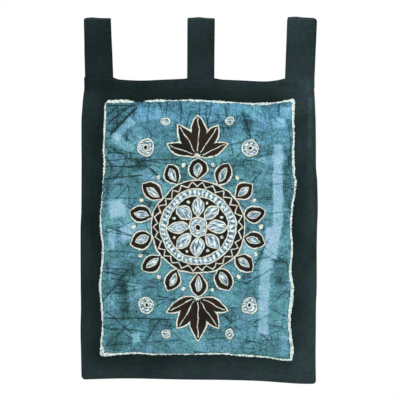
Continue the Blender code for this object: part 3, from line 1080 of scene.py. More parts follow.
@dataclass(frozen=True)
class CrackledGround:
    """The blue ground: clouds, patches and pale places of the dye, and the wax's cracks."""

    depth: float = 0.535
    crooked: tuple[Sway, ...] = (Sway(36.0, 5.0, 6.0), Sway(5.0, 1.2, 9.0))
    straight: tuple[Sway, ...] = (Sway(60.0, 4.0, 6.0), Sway(5.0, 1.2, 9.0))
    pale_over: Range = (0.08, 0.32)
    pale_calm: float = 0.55
    speckle: Blots = Blots(3.2, 3.6, 2.0, 15.0)
    speckle_depth: float = 0.6
    clouds: Blots = Blots(52.0, 52.0, 3.0, 11.0)
    cloud_depth: float = 0.34
    blotches: Blots = Blots(11.0, 9.0, 4.0, 13.0)
    blotch_depth: float = 0.46
    cells: Net = Net(38.0, 27.0, 3.0)
    cell_depth: float = 0.24
    upper_over: Range = (-300.0, -215.0)
    right_over: Range = (100.0, 160.0)
    broken: Blots = Blots(12.0, 12.0, 2.0, 21.0)
    broken_least_more: Pair = (0.45, 1.1)
    crumpled: Blots = Blots(46.0, 46.0, 2.0, 19.0, 0.36, 0.62)
    crumpled_least_more: Pair = (0.35, 1.3)
    family_seed: float = 3.7
    level_less: float = 0.5
    steep_least_more: Pair = (0.4, 0.42)
    coarse_net: Net = Net(52.0, 34.0, 2.0, 0.0, 0.04)
    coarse_dye: float = 0.13
    fine_net: Net = Net(15.0, 12.0, 7.0, 0.0, 0.09)
    fine_dye: float = 0.08
    azure_over: Range = (-290.0, -185.0)
    azure_share: float = 0.7
    azure_way: Vector = (1.0, 0.25, 0.0)
    azure_from_corner: Range = (-235.0, -160.0)
    teal: Blots = Blots(26.0, 26.0, 3.0, 41.0, 0.42, 0.62)
    teal_speckle: float = 0.8
    teal_less_above: float = 0.06
    teal_share: Pair = (0.75, 0.6)
    lilac: Blots = Blots(40.0, 40.0, 2.0, 47.0, 0.52, 0.72)
    lilac_way: Vector = (0.0001, 0.0, 0.0)
    lilac_less_above: float = 0.03
    lilac_where_pale: float = 0.08
    lilac_share: float = 0.6

    def colour(self, graph: Graph, place: Wire) -> Wire:
        """The ground's colour."""
        dyed, speckle = graph.attribute("ground"), graph.uneven(place, self.speckle)
        pale = graph.smooth(-dyed, *self.pale_over)
        height = graph.dot(place, ALONG)
        upper = graph.smooth(height, *self.upper_over)
        depth = dyed + speckle * self.speckle_depth + self.depth
        depth = self.cracked(graph, place, depth, pale, upper)
        blue = graph.node("ShaderNodeValToRGB", {"stops": DYES.blues}, {"Fac": depth})
        azure = graph.smooth(height, *self.azure_over) * self.azure_share
        azure = azure * graph.smooth(graph.dot(place, self.azure_way), *self.azure_from_corner)
        blue = self.tinted(graph, azure, blue, DYES.azure)
        teal = graph.noise(place, self.teal) + speckle * self.teal_speckle
        teal = graph.smooth(teal - upper * self.teal_less_above, self.teal.low, self.teal.high)
        most, less = self.teal_share
        blue = self.tinted(graph, teal * (most - pale * less), blue, DYES.teal)
        lilac = graph.noise(place, self.lilac) - graph.dot(place, self.lilac_way)
        lilac = lilac - upper * self.lilac_less_above + pale * self.lilac_where_pale
        lilac = graph.smooth(lilac, self.lilac.low, self.lilac.high) * self.lilac_share
        return self.tinted(graph, lilac, blue, DYES.lilac)

    def cracked(self, graph: Graph, place: Wire, depth: Wire, pale: Wire, upper: Wire) -> Wire:
        """Adds the clouds, the patches and the cracks to the dye.

        Args:
            graph: the material's graph.
            place: the place on the cloth map.
            depth: the depth of the dye before them.
            pale: 1 where the ground is pale and calm.
            upper: 1 at the top of the panel.

        Returns:
            The depth of the dye.
        """
        crooked, straight = graph.wobble(place, *self.crooked), graph.wobble(place, *self.straight)
        calm = 1.0 - pale * self.pale_calm
        depth = depth + graph.uneven(place, self.clouds) * calm * self.cloud_depth
        depth = depth + graph.uneven(crooked, self.blotches) * calm * self.blotch_depth
        cells = graph.dot(graph.cells(crooked, self.cells, "F1", "Color"), ACROSS)
        depth = depth + (cells - 0.5) * calm * self.cell_depth
        look = CrackLook()
        least, more = self.broken_least_more
        broken = least + graph.noise(place, self.broken) * more
        veins: Wire | float = 0.0
        for vein in VEINS:
            veins = graph.most(look.vein(graph, straight, vein), veins)
        depth = depth + veins * broken
        least, more = self.crumpled_least_more
        strength = broken * calm * (graph.spots(place, self.crumpled) * more + least)
        right = graph.smooth(graph.dot(place, ACROSS), *self.right_over)
        families: dict[bool, Wire | float] = {False: 0.0, True: 0.0}
        for number, family in enumerate(CRACK_FAMILIES):
            line = look.family(graph, crooked, family, self.family_seed * number)
            families[family.steep] = families[family.steep] + line
        less = self.level_less
        depth = depth + families[False] * (1.0 - upper * less) * (1.0 - right * less) * strength
        least, more = self.steep_least_more
        depth = depth + families[True] * (least + upper * more) * strength
        nets = graph.net(crooked, self.coarse_net) * self.coarse_dye
        return depth + (nets + graph.net(crooked, self.fine_net) * self.fine_dye) * strength

    @staticmethod
    def tinted(graph: Graph, share: Wire, colour: Wire, tint: Colour) -> Wire:
        """A colour moved towards a tint of itself."""
        return graph.mix(share, colour, graph.vector("MULTIPLY", colour, tint))


class Petals(NamedTuple):
    """Petals round the centre: their count, how far out their middles are, and half their size."""

    count: int
    middle: float
    half_length: float
    half_width: float


class Leaf(NamedTuple):
    """Leaves of a fan: how far they lean aside, and half their size."""

    lean: float
    half_length: float
    half_width: float


class Bead(NamedTuple):
    """Beads aside the centre, above it and below it, and their radius."""

    aside: float
    above: float
    radius: float


@dataclass(frozen=True)
class Medallion:
    """The wax-drawn design: a medallion of rings and petals, leaf fans and beads."""

    centre: Vector = (-2.0, -437.0, 0.0)
    hand: tuple[Sway, ...] = (Sway(55.0, 12.0, 1.0), Sway(14.0, 3.2, 4.0))
    inner: Petals = Petals(8, 42.0, 21.0, 12.5)
    outer: Petals = Petals(14, 124.0, 25.0, 18.5)
    lens: Petals = Petals(14, 122.0, 15.0, 7.0)
    leaf_taper: float = 0.85
    inner_stroke_step: float = 31.0
    outer_stroke_step: float = 37.0
    fan: tuple[Leaf, ...] = (Leaf(0.0, 43.0, 17.5), Leaf(33.0, 39.0, 15.5), Leaf(67.0, 34.0, 13.5))
    fan_foot: float = 150.0
    fan_gap: float = 3.0
    rib_inset: float = 6.0
    beads: tuple[Bead, ...] = (Bead(110.0, 168.0, 16.0), Bead(110.0, 168.0, 5.0), Bead(68.0, 226.0, 8.0))
    rings: tuple[float, ...] = (6.5, 19.5, 65.0, 80.0, 99.0)
    core: float = 6.0
    bands: tuple[Pair, ...] = ((72.5, 7.0), (12.5, 7.0))
    stripe_count: float = 46.0
    stripe_reach: float = 0.11
    stripe_blots: Blots = Blots(5.0, 5.0, 2.0, 33.0)
    stripe_uneven: float = 0.7
    zigzag_at: float = 89.5
    zigzag_reach: float = 5.0
    zigzag_count: float = 26.0
    zigzag_taper: float = 0.72
    dots: tuple[tuple[float, int, float], ...] = ((135.0, 14, 3.2), (55.0, 8, 1.6))
    thinner_rib: float = 0.5
    thinner_lens: float = 0.4
    thinner_zigzag: float = 0.3
    pen: Pair = (0.75, 1.3)
    pen_blots: Blots = Blots(13.0, 13.0, 2.0, 27.0)
    line_edge: Range = (-0.45, 0.3)
    fill_edge: Range = (-0.3, 0.3)
    dark_spots: Blots = Blots(60.0, 60.0, 3.0, 31.0, 0.44, 0.58)
    bead_strokes: Blots = Blots(7.0, 3.0, 2.0, 35.0)
    petal_strokes: Blots = Blots(15.0, 2.8, 2.0, 37.0)
    pink_spots: Blots = Blots(34.0, 34.0, 2.0, 29.0, 0.48, 0.62)
    pink_share: float = 0.6

    def colour(self, graph: Graph, place: Wire, ground: Wire) -> Wire:
        """Draws the design on the ground.

        Args:
            graph: the material's graph.
            place: the place on the cloth map.
            ground: the ground's colour.

        Returns:
            The panel's colour.
        """
        drawn = graph.wobble(place, *self.hand)
        centred = graph.vector("SUBTRACT", drawn, self.centre)
        x, z = graph.dot(centred, ACROSS), graph.dot(centred, ALONG)
        radius = graph.vector("LENGTH", centred, output="Value")
        turn = graph.math("ARCTAN2", x, z) / (2.0 * pi)
        inner_place = self.petal_place(graph, radius, turn, self.inner.count)
        outer_place = self.petal_place(graph, radius, turn, self.outer.count)
        inner = self.petal(inner_place, self.inner)
        outer, lens = self.petal(outer_place, self.outer), self.petal(outer_place, self.lens)
        side, end = abs(x), abs(z)
        leaves, ribs = self.fans(graph, side, end)
        bead, bead_core, small_bead = (
            self.length(graph, side - bead.aside, end - bead.above) - bead.radius for bead in self.beads
        )

        fills = graph.least(outer, leaves, radius - self.rings[-1])
        brown = graph.mix(graph.spots(place, self.dark_spots), DYES.brown, DYES.black_brown)
        colour = graph.mix(graph.ease(fills, *self.fill_edge), ground, brown)
        stripes = graph.math("SINE", turn * (2.0 * pi * self.stripe_count)) * self.stripe_reach + 0.5
        stripes = stripes + graph.uneven(drawn, self.stripe_blots) * self.stripe_uneven
        brushed = (
            (graph.least(*(abs(radius - middle) - half for middle, half in self.bands)), stripes),
            (inner, self.stroke_tone(graph, inner_place, self.inner_stroke_step)),
            (lens, self.stroke_tone(graph, outer_place, self.outer_stroke_step)),
            (graph.least(bead, small_bead), graph.noise(drawn, self.bead_strokes)),
        )
        for shape, tone in brushed:
            strokes = graph.node("ShaderNodeValToRGB", {"stops": DYES.strokes}, {"Fac": tone})
            colour = graph.mix(graph.ease(shape, *self.fill_edge), colour, strokes)
        cores = graph.least(bead_core, radius - self.core)
        colour = graph.mix(graph.ease(cores, *self.fill_edge), colour, DYES.black_brown)

        lines = [abs(inner), abs(outer), abs(leaves), graph.most(ribs, leaves + self.rib_inset)]
        lines += [abs(radius - size) for size in self.rings]
        lines += [abs(bead), abs(bead_core), abs(small_bead), abs(lens) + self.thinner_lens]
        lines.append(self.zigzag(graph, radius, turn) + self.thinner_zigzag)
        lines += [self.ring_dots(graph, radius, turn, *dots) for dots in self.dots]
        least, more = self.pen
        from_line = graph.least(*lines) - (least + graph.noise(place, self.pen_blots) * more)
        wax = WaxLine()
        pink = graph.spots(place, self.pink_spots) * self.pink_share
        cream = graph.mix(pink, wax.white(graph, place), DYES.pink_cream)
        colour = wax.pooled(graph, from_line, colour)
        return graph.mix(graph.ease(from_line, *self.line_edge), colour, cream)

    def stroke_tone(self, graph: Graph, petal: tuple[Wire, Wire, Wire], step: float) -> Wire:
        """Light and dark brush strokes that run along a petal, other ones in each."""
        along, aside, number = petal
        return graph.noise(graph.joined(along + number * step, aside), self.petal_strokes)

    @staticmethod
    def petal_place(graph: Graph, radius: Wire, turn: Wire, count: int) -> tuple[Wire, Wire, Wire]:
        """A place along and aside the nearest of the petals round the centre, and its number."""
        spread = turn * float(count) + 0.5
        number = graph.math("FLOOR", spread)
        angle = (spread - number - 0.5) * (2.0 * pi / count)
        return radius * graph.math("COSINE", angle), radius * graph.math("SINE", angle), number

    def petal(self, place: tuple[Wire, Wire, Wire], petals: Petals) -> Wire:
        """How far a place is outside the nearest petal."""
        return self.leaf(place[0], place[1], *petals[1:])

    def leaf(self, along: Wire, aside: Wire, middle: float, half_length: float, half_width: float) -> Wire:
        """How far a place is outside a pointed leaf."""
        share = (along - middle) / half_length
        return (abs(aside) - half_width + share * share * half_width) * self.leaf_taper

    def fans(self, graph: Graph, side: Wire, end: Wire) -> tuple[Wire, Wire]:
        """The leaf fans above and below the medallion.

        Args:
            graph: the material's graph.
            side: distance aside the middle.
            end: distance above or below the centre.

        Returns:
            How far a place is outside the leaves, and how far it is from their midribs.
        """
        leaves: Wire | float = FAR
        ribs: Wire | float = FAR
        for leaf in self.fan:
            lean_x, lean_z = sin(radians(leaf.lean)), cos(radians(leaf.lean))
            along = side * lean_x + (end - self.fan_foot) * lean_z
            aside = side * lean_z - (end - self.fan_foot) * lean_x
            middle = leaf.half_length + self.fan_gap
            leaves = graph.least(self.leaf(along, aside, middle, *leaf[1:]), leaves)
            ribs = graph.least(abs(aside) + self.thinner_rib, ribs)
        return leaves, ribs

    @staticmethod
    def length(graph: Graph, first: Wire, second: Wire) -> Wire:
        """How far apart two places are, from their distances each way."""
        return graph.math("SQRT", first * first + second * second)

    def zigzag(self, graph: Graph, radius: Wire, turn: Wire) -> Wire:
        """How far a place is from the zigzag line that runs round the centre."""
        wave = graph.math("PINGPONG", turn * self.zigzag_count, 0.5) * 4.0 - 1.0
        return abs(radius - self.zigzag_at - wave * self.zigzag_reach) * self.zigzag_taper

    def ring_dots(
        self, graph: Graph, radius: Wire, turn: Wire, middle: float, count: int, size: float
    ) -> Wire:
        """How far a place is outside the nearest of the dots round the centre."""
        along, aside, _ = self.petal_place(graph, radius, turn + 0.5 / count, count)
        return self.length(graph, along - middle, aside) - size


@dataclass(frozen=True)
class BatikDye:
    """The batik cloth: a crackled blue panel with a wax-drawn design, in a dark border."""

    roughness: float = 0.84
    fades_within: float = 45.0
    fades_outward: float = 0.0095
    # rim: along the folded edge the border is painted darker as shade on its shaded parts and paler as a
    # highlight on its lit ones.
    rim: Range = (0.4, 2.8)
    rim_even_at: float = 0.8
    rim_light_strength: float = 0.45
    ragged: Blots = Blots(4.6, 4.6, 3.0, 2.0)
    ragged_reach: float = 4.2
    uneven: Blots = Blots(9.0, 9.0, 2.0, 7.0)
    uneven_reach: float = 2.4
    dye_edge: Range = (-0.4, 0.4)
    wax_edge: Range = (-0.45, 0.35)

    def make(self) -> bpy.types.Material:
        """Makes the cloth's finish."""
        graph, wax = Graph(Finish.BATIK.value), WaxLine()
        place = graph.cloth_place()
        colour = Medallion().colour(graph, place, CrackledGround().colour(graph, place))
        # The border's paleness, painted light included, grows a little outward from the panel.
        outward = graph.least(graph.attribute("panel"), self.fades_within)
        fading_and_light = graph.attribute("faded_and_lit") + outward * self.fades_outward
        border = DarkCotton().colour(graph, place, fading_and_light)
        # Painted shade and highlight along the folded edge.
        rim = graph.ease(graph.attribute("edge"), *self.rim)
        border = graph.scaled(border, 1.0 + rim * (fading_and_light - self.rim_even_at) * self.rim_light_strength)
        outside = graph.attribute("panel") + graph.uneven(place, self.ragged) * self.ragged_reach
        half_width = graph.attribute("wax") + graph.uneven(place, self.uneven) * self.uneven_reach
        from_line = abs(outside) - half_width
        colour = wax.pooled(graph, from_line, colour)
        colour = graph.mix(graph.smooth(outside, *self.dye_edge), colour, border)
        line = graph.ease(from_line, *self.wax_edge)
        cool = graph.vector("MULTIPLY", wax.white(graph, place), DYES.cool)
        return Weave().finish(graph, place, graph.mix(line, colour, cool), self.roughness)


@dataclass(frozen=True)
class Thread:
    """Sewing thread, dark as the border and a little glossier."""

    colour: Colour = (0.020, 0.036, 0.039)
    roughness: float = 0.6
    twist: Vector = (5200.0, 1400.0, 5200.0)
    twist_height: float = 0.04
    # shade is painted shade: the colour darkens in the grooves of the twist, with the wave that also bumps
    # the thread.
    shade: Pair = (0.8, 0.22)

    def make(self) -> bpy.types.Material:
        """Makes the thread's finish."""
        graph = Graph("sewing_thread")
        place = graph.node("ShaderNodeTexCoord", output="Object")
        twist = graph.math("SINE", graph.dot(place, self.twist))
        # Painted shade in the twist's grooves.
        least, more = self.shade
        colour = graph.scaled(self.colour, least + twist * more)
        bump = graph.node("ShaderNodeBump", {}, {"Height": twist, "Distance": self.twist_height * MM})
        return graph.ended({"Base Color": colour, "Roughness": self.roughness, "Normal": bump})


# Meshes


def deselect_all() -> None:
    """Leaves nothing selected or in edit mode."""
    if bpy.context.mode != "OBJECT":
        bpy.ops.object.mode_set(mode="OBJECT")
    bpy.ops.object.select_all(action="DESELECT")


def edit_all(piece: bpy.types.Object) -> None:
    """Opens a mesh in edit mode with all of it selected, and nothing else."""
    deselect_all()
    piece.select_set(True)
    bpy.context.view_layer.objects.active = piece
    bpy.ops.object.mode_set(mode="EDIT")
    bpy.ops.mesh.select_all(action="SELECT")


def grid(name: str, columns: int, rows: int) -> bpy.types.Object:
    """Adds a flat grid with a number of points each way."""
    deselect_all()
    bpy.ops.mesh.primitive_grid_add(x_subdivisions=columns - 1, y_subdivisions=rows - 1, size=2.0)
    made = bpy.context.object
    made.name = name
    made.data.name = name
    return made


def grid_places(sheet: bpy.types.Object, columns: int, rows: int) -> tuple[np.ndarray, np.ndarray]:
    """The column and row of each of a grid's points, the rows counted from the top."""
    places = np.empty(len(sheet.data.vertices) * 3)
    sheet.data.vertices.foreach_get("co", places)
    places = places.reshape(-1, 3)
    column = np.rint((places[:, 0] + 1.0) / 2.0 * (columns - 1)).astype(int)
    row = np.rint((1.0 - places[:, 1]) / 2.0 * (rows - 1)).astype(int)
    return column, row


def place_points(piece: bpy.types.Object, points: np.ndarray) -> None:
    """Puts a mesh's points at places in millimetres."""
    piece.data.vertices.foreach_set("co", (points * MM).astype(np.float32).ravel())
    piece.data.update()


def carry(piece: bpy.types.Object, name: str, values: np.ndarray) -> None:
    """Gives a mesh's points a value each, under a name."""
    layer = piece.data.attributes.get(name) or piece.data.attributes.new(name, "FLOAT", "POINT")
    layer.data.foreach_set("value", values.astype(np.float32))


def carried(piece: bpy.types.Object, name: str) -> np.ndarray:
    """Reads a value that a mesh's points carry."""
    values = np.empty(len(piece.data.vertices), np.float32)
    piece.data.attributes[name].data.foreach_get("value", values)
    return values


def map_cloth(piece: bpy.types.Object, places: np.ndarray) -> None:
    """Gives a mesh its cloth map from each point's place on the flat cloth."""
    layer = piece.data.uv_layers.new(name=CLOTH_MAP)
    corners = np.empty(len(piece.data.loops), int)
    piece.data.loops.foreach_get("vertex_index", corners)
    layer.uv.foreach_set("vector", places[corners].astype(np.float32).ravel())


def thicken(piece: bpy.types.Object, thickness: float) -> None:
    """Gives a sheet its thickness, half to each side, and turns its faces outwards."""
    solid = piece.modifiers.new("cloth thickness", "SOLIDIFY")
    solid.thickness = thickness * MM
    solid.offset = 0.0
    solid.use_even_offset = False
    deselect_all()
    bpy.context.view_layer.objects.active = piece
    bpy.ops.object.modifier_apply(modifier=solid.name)
    edit_all(piece)
    bpy.ops.mesh.normals_make_consistent(inside=False)
    bpy.ops.object.mode_set(mode="OBJECT")
    piece.data.shade_smooth()


def keep(piece: bpy.types.Object, slot: Finish, *nodes: str) -> None:
    """Lets a finished piece ride on the body, hides the parts that it replaces, and logs it."""
    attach(piece, BODY)
    if nodes:
        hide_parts(*nodes)
    log.info("%s: %d faces", piece.name, len(piece.data.polygons))


@dataclass
class StitchRows:
    """Machine stitches: one is modelled, and copies of it lie along rows of points."""

    name: str
    length: float = 2.7
    gap: float = 0.6
    radius: float = 0.2
    sides: int = 6
    cuts: int = 3
    thinner_ends: float = 0.65
    rise: float = 0.7
    dip: float = 1.5

    def __post_init__(self) -> None:
        """Starts with no stitches."""
        self.places: list[tuple[np.ndarray, np.ndarray, np.ndarray]] = []

    def add_row(self, route: np.ndarray, outward: np.ndarray) -> None:
        """Lays stitches along a route.

        Args:
            route: points that the row passes.
            outward: the way that the cloth's surface faces at each point.
        """
        steps = np.linalg.norm(np.diff(route, axis=0), axis=1)
        reached = np.concatenate([[0.0], np.cumsum(steps)])
        count = int(reached[-1] / (self.length + self.gap))
        starts = np.arange(count) * reached[-1] / count
        middles, ends = starts + self.length / 2.0, starts + self.length
        lines = [
            np.stack([np.interp(at, reached, route[:, axis]) for axis in range(3)], axis=-1)
            for at in (starts, middles, ends)
        ]
        facing = np.stack([np.interp(middles, reached, outward[:, axis]) for axis in range(3)], -1)
        self.places.append((lines[1], lines[2] - lines[0], facing))

    def model_one(self) -> tuple[np.ndarray, np.ndarray]:
        """Models one stitch, a thread that dips at both ends.

        Returns:
            Its points, with x along the row and z outward, and its faces.
        """
        deselect_all()
        bpy.ops.mesh.primitive_cylinder_add(vertices=self.sides, radius=1.0, depth=2.0)
        one = bpy.context.object
        edit_all(one)
        shape = bmesh.from_edit_mesh(one.data)
        long_edges = [e for e in shape.edges if abs(e.verts[0].co.z - e.verts[1].co.z) > 1.0]
        bmesh.ops.subdivide_edges(shape, edges=long_edges, cuts=self.cuts, use_grid_fill=False)
        for point in shape.verts:
            along = point.co.z
            thin = 1.0 - self.thinner_ends * along**4
            rise = self.rise - self.dip * along**2
            around = (point.co.x * thin * self.radius, point.co.y * thin * self.radius)
            point.co = (along * self.length / 2.0, around[1], around[0] + rise * self.radius)
        bmesh.update_edit_mesh(one.data)
        bpy.ops.mesh.normals_make_consistent(inside=False)
        bpy.ops.object.mode_set(mode="OBJECT")
        points = np.array([point.co for point in one.data.vertices])
        faces = [list(face.vertices) for face in one.data.polygons]
        bpy.data.objects.remove(one)
        return points, faces

    def build(self, material: bpy.types.Material) -> bpy.types.Object:
        """Joins the copies in one mesh."""
        one, faces = self.model_one()
        middles = np.concatenate([row[0] for row in self.places])
        runs = np.concatenate([row[1] for row in self.places])
        outward = np.concatenate([row[2] for row in self.places])
        along = runs / np.linalg.norm(runs, axis=1, keepdims=True)
        side = np.cross(outward, along)
        side /= np.linalg.norm(side, axis=1, keepdims=True)
        out = np.cross(along, side)
        axes = np.stack([along, side, out], axis=1)
        points = np.einsum("pi,sij->spj", one, axes) + middles[:, None, :]
        all_faces = [
            [corner + index * len(one) for corner in face]
            for index in range(len(middles))
            for face in faces
        ]
        mesh = bpy.data.meshes.new(self.name)
        mesh.from_pydata((points.reshape(-1, 3) * MM).tolist(), [], all_faces)
        mesh.shade_smooth()
        mesh.materials.append(material)
        rows = bpy.data.objects.new(self.name, mesh)
        bpy.context.scene.collection.objects.link(rows)
        return rows


@dataclass
class BatikCloth:
    """The cloth: one dyed sheet with a double hem on all four sides."""

    shape: HangShape
    thickness: float = 0.5
    layer_pitch: float = 0.62
    hem_width: float = 20.0
    turned_under: float = 8.0
    field_step: float = 3.6
    edge_stations: tuple[float, ...] = (
        0.0, 1.2, 3.0, 5.2, 7.8, 10.5, 13.2, 15.6, 17.2, 18.0, 18.8, 20.6, 23.4,
    )
    hem_stations: tuple[float, ...] = (2.0, 5.5, 9.5, 13.5, 16.5, 18.0)
    under_shares: tuple[float, ...] = (0.3, 0.7, 1.0)
    fold_steps: int = 6
    turn_steps: int = 3
    stitch_points: int = 240
    heading_inset: float = 4.0
    panel_corner: float = 2.4
    far_outside: float = 40.0
    ragged_along: Pair = (1.4, 9.0)
    ragged_aside: Pair = (1.2, 7.0)

    def stations(self, length: float) -> np.ndarray:
        """Shares of a side at which the grid has points, closer together at the hems."""
        edge = np.array(self.edge_stations)
        inner = length - 2.0 * edge[-1]
        steps = round(inner / self.field_step)
        field = edge[-1] + inner * np.arange(1, steps) / steps
        return np.concatenate([edge, field, length - edge[::-1]]) / length

    def inset(self, share: np.ndarray, length: float, by: float) -> np.ndarray:
        """Shares of a side, drawn in by a distance at both ends."""
        return (by + share * (length - 2.0 * by)) / length

    def hem_route(self) -> list[tuple[float, float, float]]:
        """The hem's section: how far beyond the edge, how far in from it and how deep it lies."""
        pitch = self.layer_pitch
        route = []
        for step in range(1, self.fold_steps + 1):
            angle = pi * step / self.fold_steps
            route.append((pitch * sin(angle), 0.0, pitch * (1.0 - cos(angle))))
        inner = self.hem_width - pitch / 2.0
        route += [(0.0, place, 2.0 * pitch) for place in (*self.hem_stations, inner)]
        for step in range(1, self.turn_steps + 1):
            angle = pi * step / self.turn_steps
            reach = inner + pitch / 2.0 * sin(angle)
            route.append((0.0, reach, pitch * (1.5 + 0.5 * cos(angle))))
        route += [(0.0, inner - share * self.turned_under, pitch) for share in self.under_shares]
        return route

    def ring(self, across: np.ndarray, down: np.ndarray, station: tuple[float, float, float]) -> np.ndarray:
        """Points of the hem at one station of its section.

        Args:
            across: shares of the width of the cloth's edge points.
            down: shares of its height.
            station: beyond the edge, in from it, and depth.

        Returns:
            An array of x, y, z rows.
        """
        beyond, inward, depth = station
        width, height = self.shape.width, self.shape.height
        edge = self.shape.front(across, down)
        near = self.shape.front(self.inset(across, width, 1.0), self.inset(down, height, 1.0))
        outward = (edge - near)[:, [0, 2]]
        outward /= np.linalg.norm(outward, axis=1, keepdims=True)
        drawn_in = self.inset(across, width, inward), self.inset(down, height, inward)
        points = self.shape.front(*drawn_in)
        points[:, [0, 2]] += outward * beyond
        points[:, 1] += depth
        return points

    def wax_sides(self, x: np.ndarray, z: np.ndarray) -> tuple[np.ndarray, np.ndarray]:
        """How the wax border line runs near each place.

        Args:
            x: places across.
            z: heights.

        Returns:
            The distance outside the line, and half the line's width.
        """
        distances, widths = [], []
        sides = ((WAX_LEFT, z, x, -1), (WAX_RIGHT, z, x, 1), (WAX_TOP, x, z, 1), (WAX_BOTTOM, x, z, -1))
        for rows, along, across, outward in sides:
            line = SmoothCurve([(row.place, row.line) for row in rows])(along)
            distances.append((across - line) * outward)
            widths.append(SmoothCurve([(row.place, row.half_width) for row in rows])(along))
        nearest = np.argmax(distances, axis=0)[None]
        second, first = np.sort(distances, axis=0)[-2:]
        radius = self.panel_corner
        rounded = np.hypot(first + radius, second + radius) - radius
        outside = np.where(second > -radius, rounded, first)
        return outside, np.take_along_axis(np.array(widths), nearest, 0)[0]

    def patched(self, x: np.ndarray, z: np.ndarray, patches: Sequence[Patch]) -> np.ndarray:
        """How much the patches add at each place: dye for the ground, and paleness for the border."""
        depth = np.zeros_like(x)
        (high_along, long_along), (high_aside, long_aside) = self.ragged_along, self.ragged_aside
        for patch in patches:
            turn = radians(patch.turn)
            along = (x - patch.x) * cos(turn) + (z - patch.z) * sin(turn)
            aside = (z - patch.z) * cos(turn) - (x - patch.x) * sin(turn)
            ragged = high_along * np.sin(along / long_along + patch.x)
            ragged = ragged + high_aside * np.sin(aside / long_aside + patch.z)
            out = np.maximum(np.abs(along) - patch.half_width, np.abs(aside) - patch.half_height)
            depth += patch.dye * (1.0 - eased((out + ragged) / patch.soft + 0.5))
        return depth

    def build(self) -> bpy.types.Object:
        """Builds the cloth: a grid drawn to its shape, and its rim folded back into the hem."""
        shape = self.shape
        columns, rows = self.stations(shape.width), self.stations(shape.height)
        cloth = grid("hanging_cloth", len(columns), len(rows))
        column, row = grid_places(cloth, len(columns), len(rows))
        across, down = columns[column], rows[row]
        place_points(cloth, shape.front(across, down))
        carry(cloth, "across", across)
        carry(cloth, "down", down)
        carry(cloth, "station", np.zeros(len(across)))
        route = self.hem_route()
        bpy.ops.object.mode_set(mode="EDIT")
        bpy.ops.mesh.select_mode(type="EDGE")
        for number in range(1, len(route) + 1):
            self.extrude_rim(cloth, float(number))
        bpy.ops.object.mode_set(mode="OBJECT")
        self.lay_hem(cloth, route)
        thicken(cloth, self.thickness)
        cloth.data.materials.append(BatikDye().make())
        return cloth

    @staticmethod
    def extrude_rim(cloth: bpy.types.Object, number: float) -> None:
        """Extrudes the sheet's open rim once and marks the new points with a number."""
        bpy.ops.mesh.select_all(action="DESELECT")
        shape = bmesh.from_edit_mesh(cloth.data)
        for edge in shape.edges:
            edge.select_set(edge.is_boundary)
        bmesh.update_edit_mesh(cloth.data)
        bpy.ops.mesh.extrude_edges_move(TRANSFORM_OT_translate={"value": (0.0, 0.0, 0.0)})
        shape = bmesh.from_edit_mesh(cloth.data)
        station = shape.verts.layers.float["station"]
        for point in shape.verts:
            if point.select:
                point[station] = number
        bmesh.update_edit_mesh(cloth.data)

    def lay_hem(self, cloth: bpy.types.Object, route: list[tuple[float, float, float]]) -> None:
        """Lays the extruded rim along the hem's section, and maps the cloth."""
        across, down = carried(cloth, "across"), carried(cloth, "down")
        number = np.rint(carried(cloth, "station")).astype(int)
        points = np.empty((len(across), 3))
        flat = np.empty((len(across), 2))
        panel, wax, edge = (np.full(len(across), value) for value in (self.far_outside, 0.0, 0.0))
        front = number == 0
        points[front] = self.shape.front(across[front], down[front])
        flat[front] = points[front][:, [0, 2]]
        side = np.minimum(across, 1.0 - across) * self.shape.width
        end = np.minimum(down, 1.0 - down) * self.shape.height
        edge[front] = np.minimum(side, end)[front]
        panel[front], wax[front] = self.wax_sides(flat[front][:, 0], flat[front][:, 1])
        run, last = 0.0, (0.0, 0.0, 0.0)
        for index, station in enumerate(route, start=1):
            here = number == index
            run += hypot(hypot(station[0] - last[0], station[1] - last[1]), station[2] - last[2])
            last = station
            points[here] = self.ring(across[here], down[here], station)
            rim = self.shape.front(across[here], down[here])[:, [0, 2]]
            at_side = side[here] < end[here]
            reach = np.where(at_side, np.sign(across[here] - 0.5), 0.0)
            rise = np.where(at_side, 0.0, np.sign(0.5 - down[here]))
            flat[here] = rim + np.stack([reach, rise], axis=-1) * run
            edge[here] = run
        place_points(cloth, points)
        map_cloth(cloth, flat)
        # faded_and_lit is the border's paleness: paled dye together with painted light and painted
        # highlights.
        ground, faded_and_lit = (self.patched(*flat.T, patches) for patches in (PATCHES, FADED_AND_LIT_PLACES))
        values = {"panel": panel, "edge": edge, "wax": wax, "ground": ground, "faded_and_lit": faded_and_lit}
        for name, value in values.items():
            carry(cloth, name, value)
        for name in ("across", "down", "station"):
            cloth.data.attributes.remove(cloth.data.attributes[name])

    def stitch(self, material: bpy.types.Material) -> list[bpy.types.Object]:
        """Sews the hem, and the heading a second time near its edge."""
        width, height = self.shape.width, self.shape.height
        seam = self.shape.stitch_inset
        face, back = StitchRows("hem_stitches_front"), StitchRows("hem_stitches_back")
        share = np.linspace(0.0, 1.0, self.stitch_points)
        near, far = np.zeros_like(share), np.ones_like(share)
        rows = [(share, near, seam), (share, far, seam), (near, share, seam), (far, share, seam)]
        rows.append((share, near, self.heading_inset))
        for across, down, inset in rows:
            route = self.shape.front(self.inset(across, width, inset), self.inset(down, height, inset))
            skin = np.array([0.0, self.thickness / 2.0, 0.0])
            outward = np.tile([0.0, 1.0, 0.0], (len(share), 1))
            face.add_row(route - skin, -outward)
            back.add_row(route + skin + np.array([0.0, 2.0 * self.layer_pitch, 0.0]), outward)
        return [face.build(material), back.build(material)]


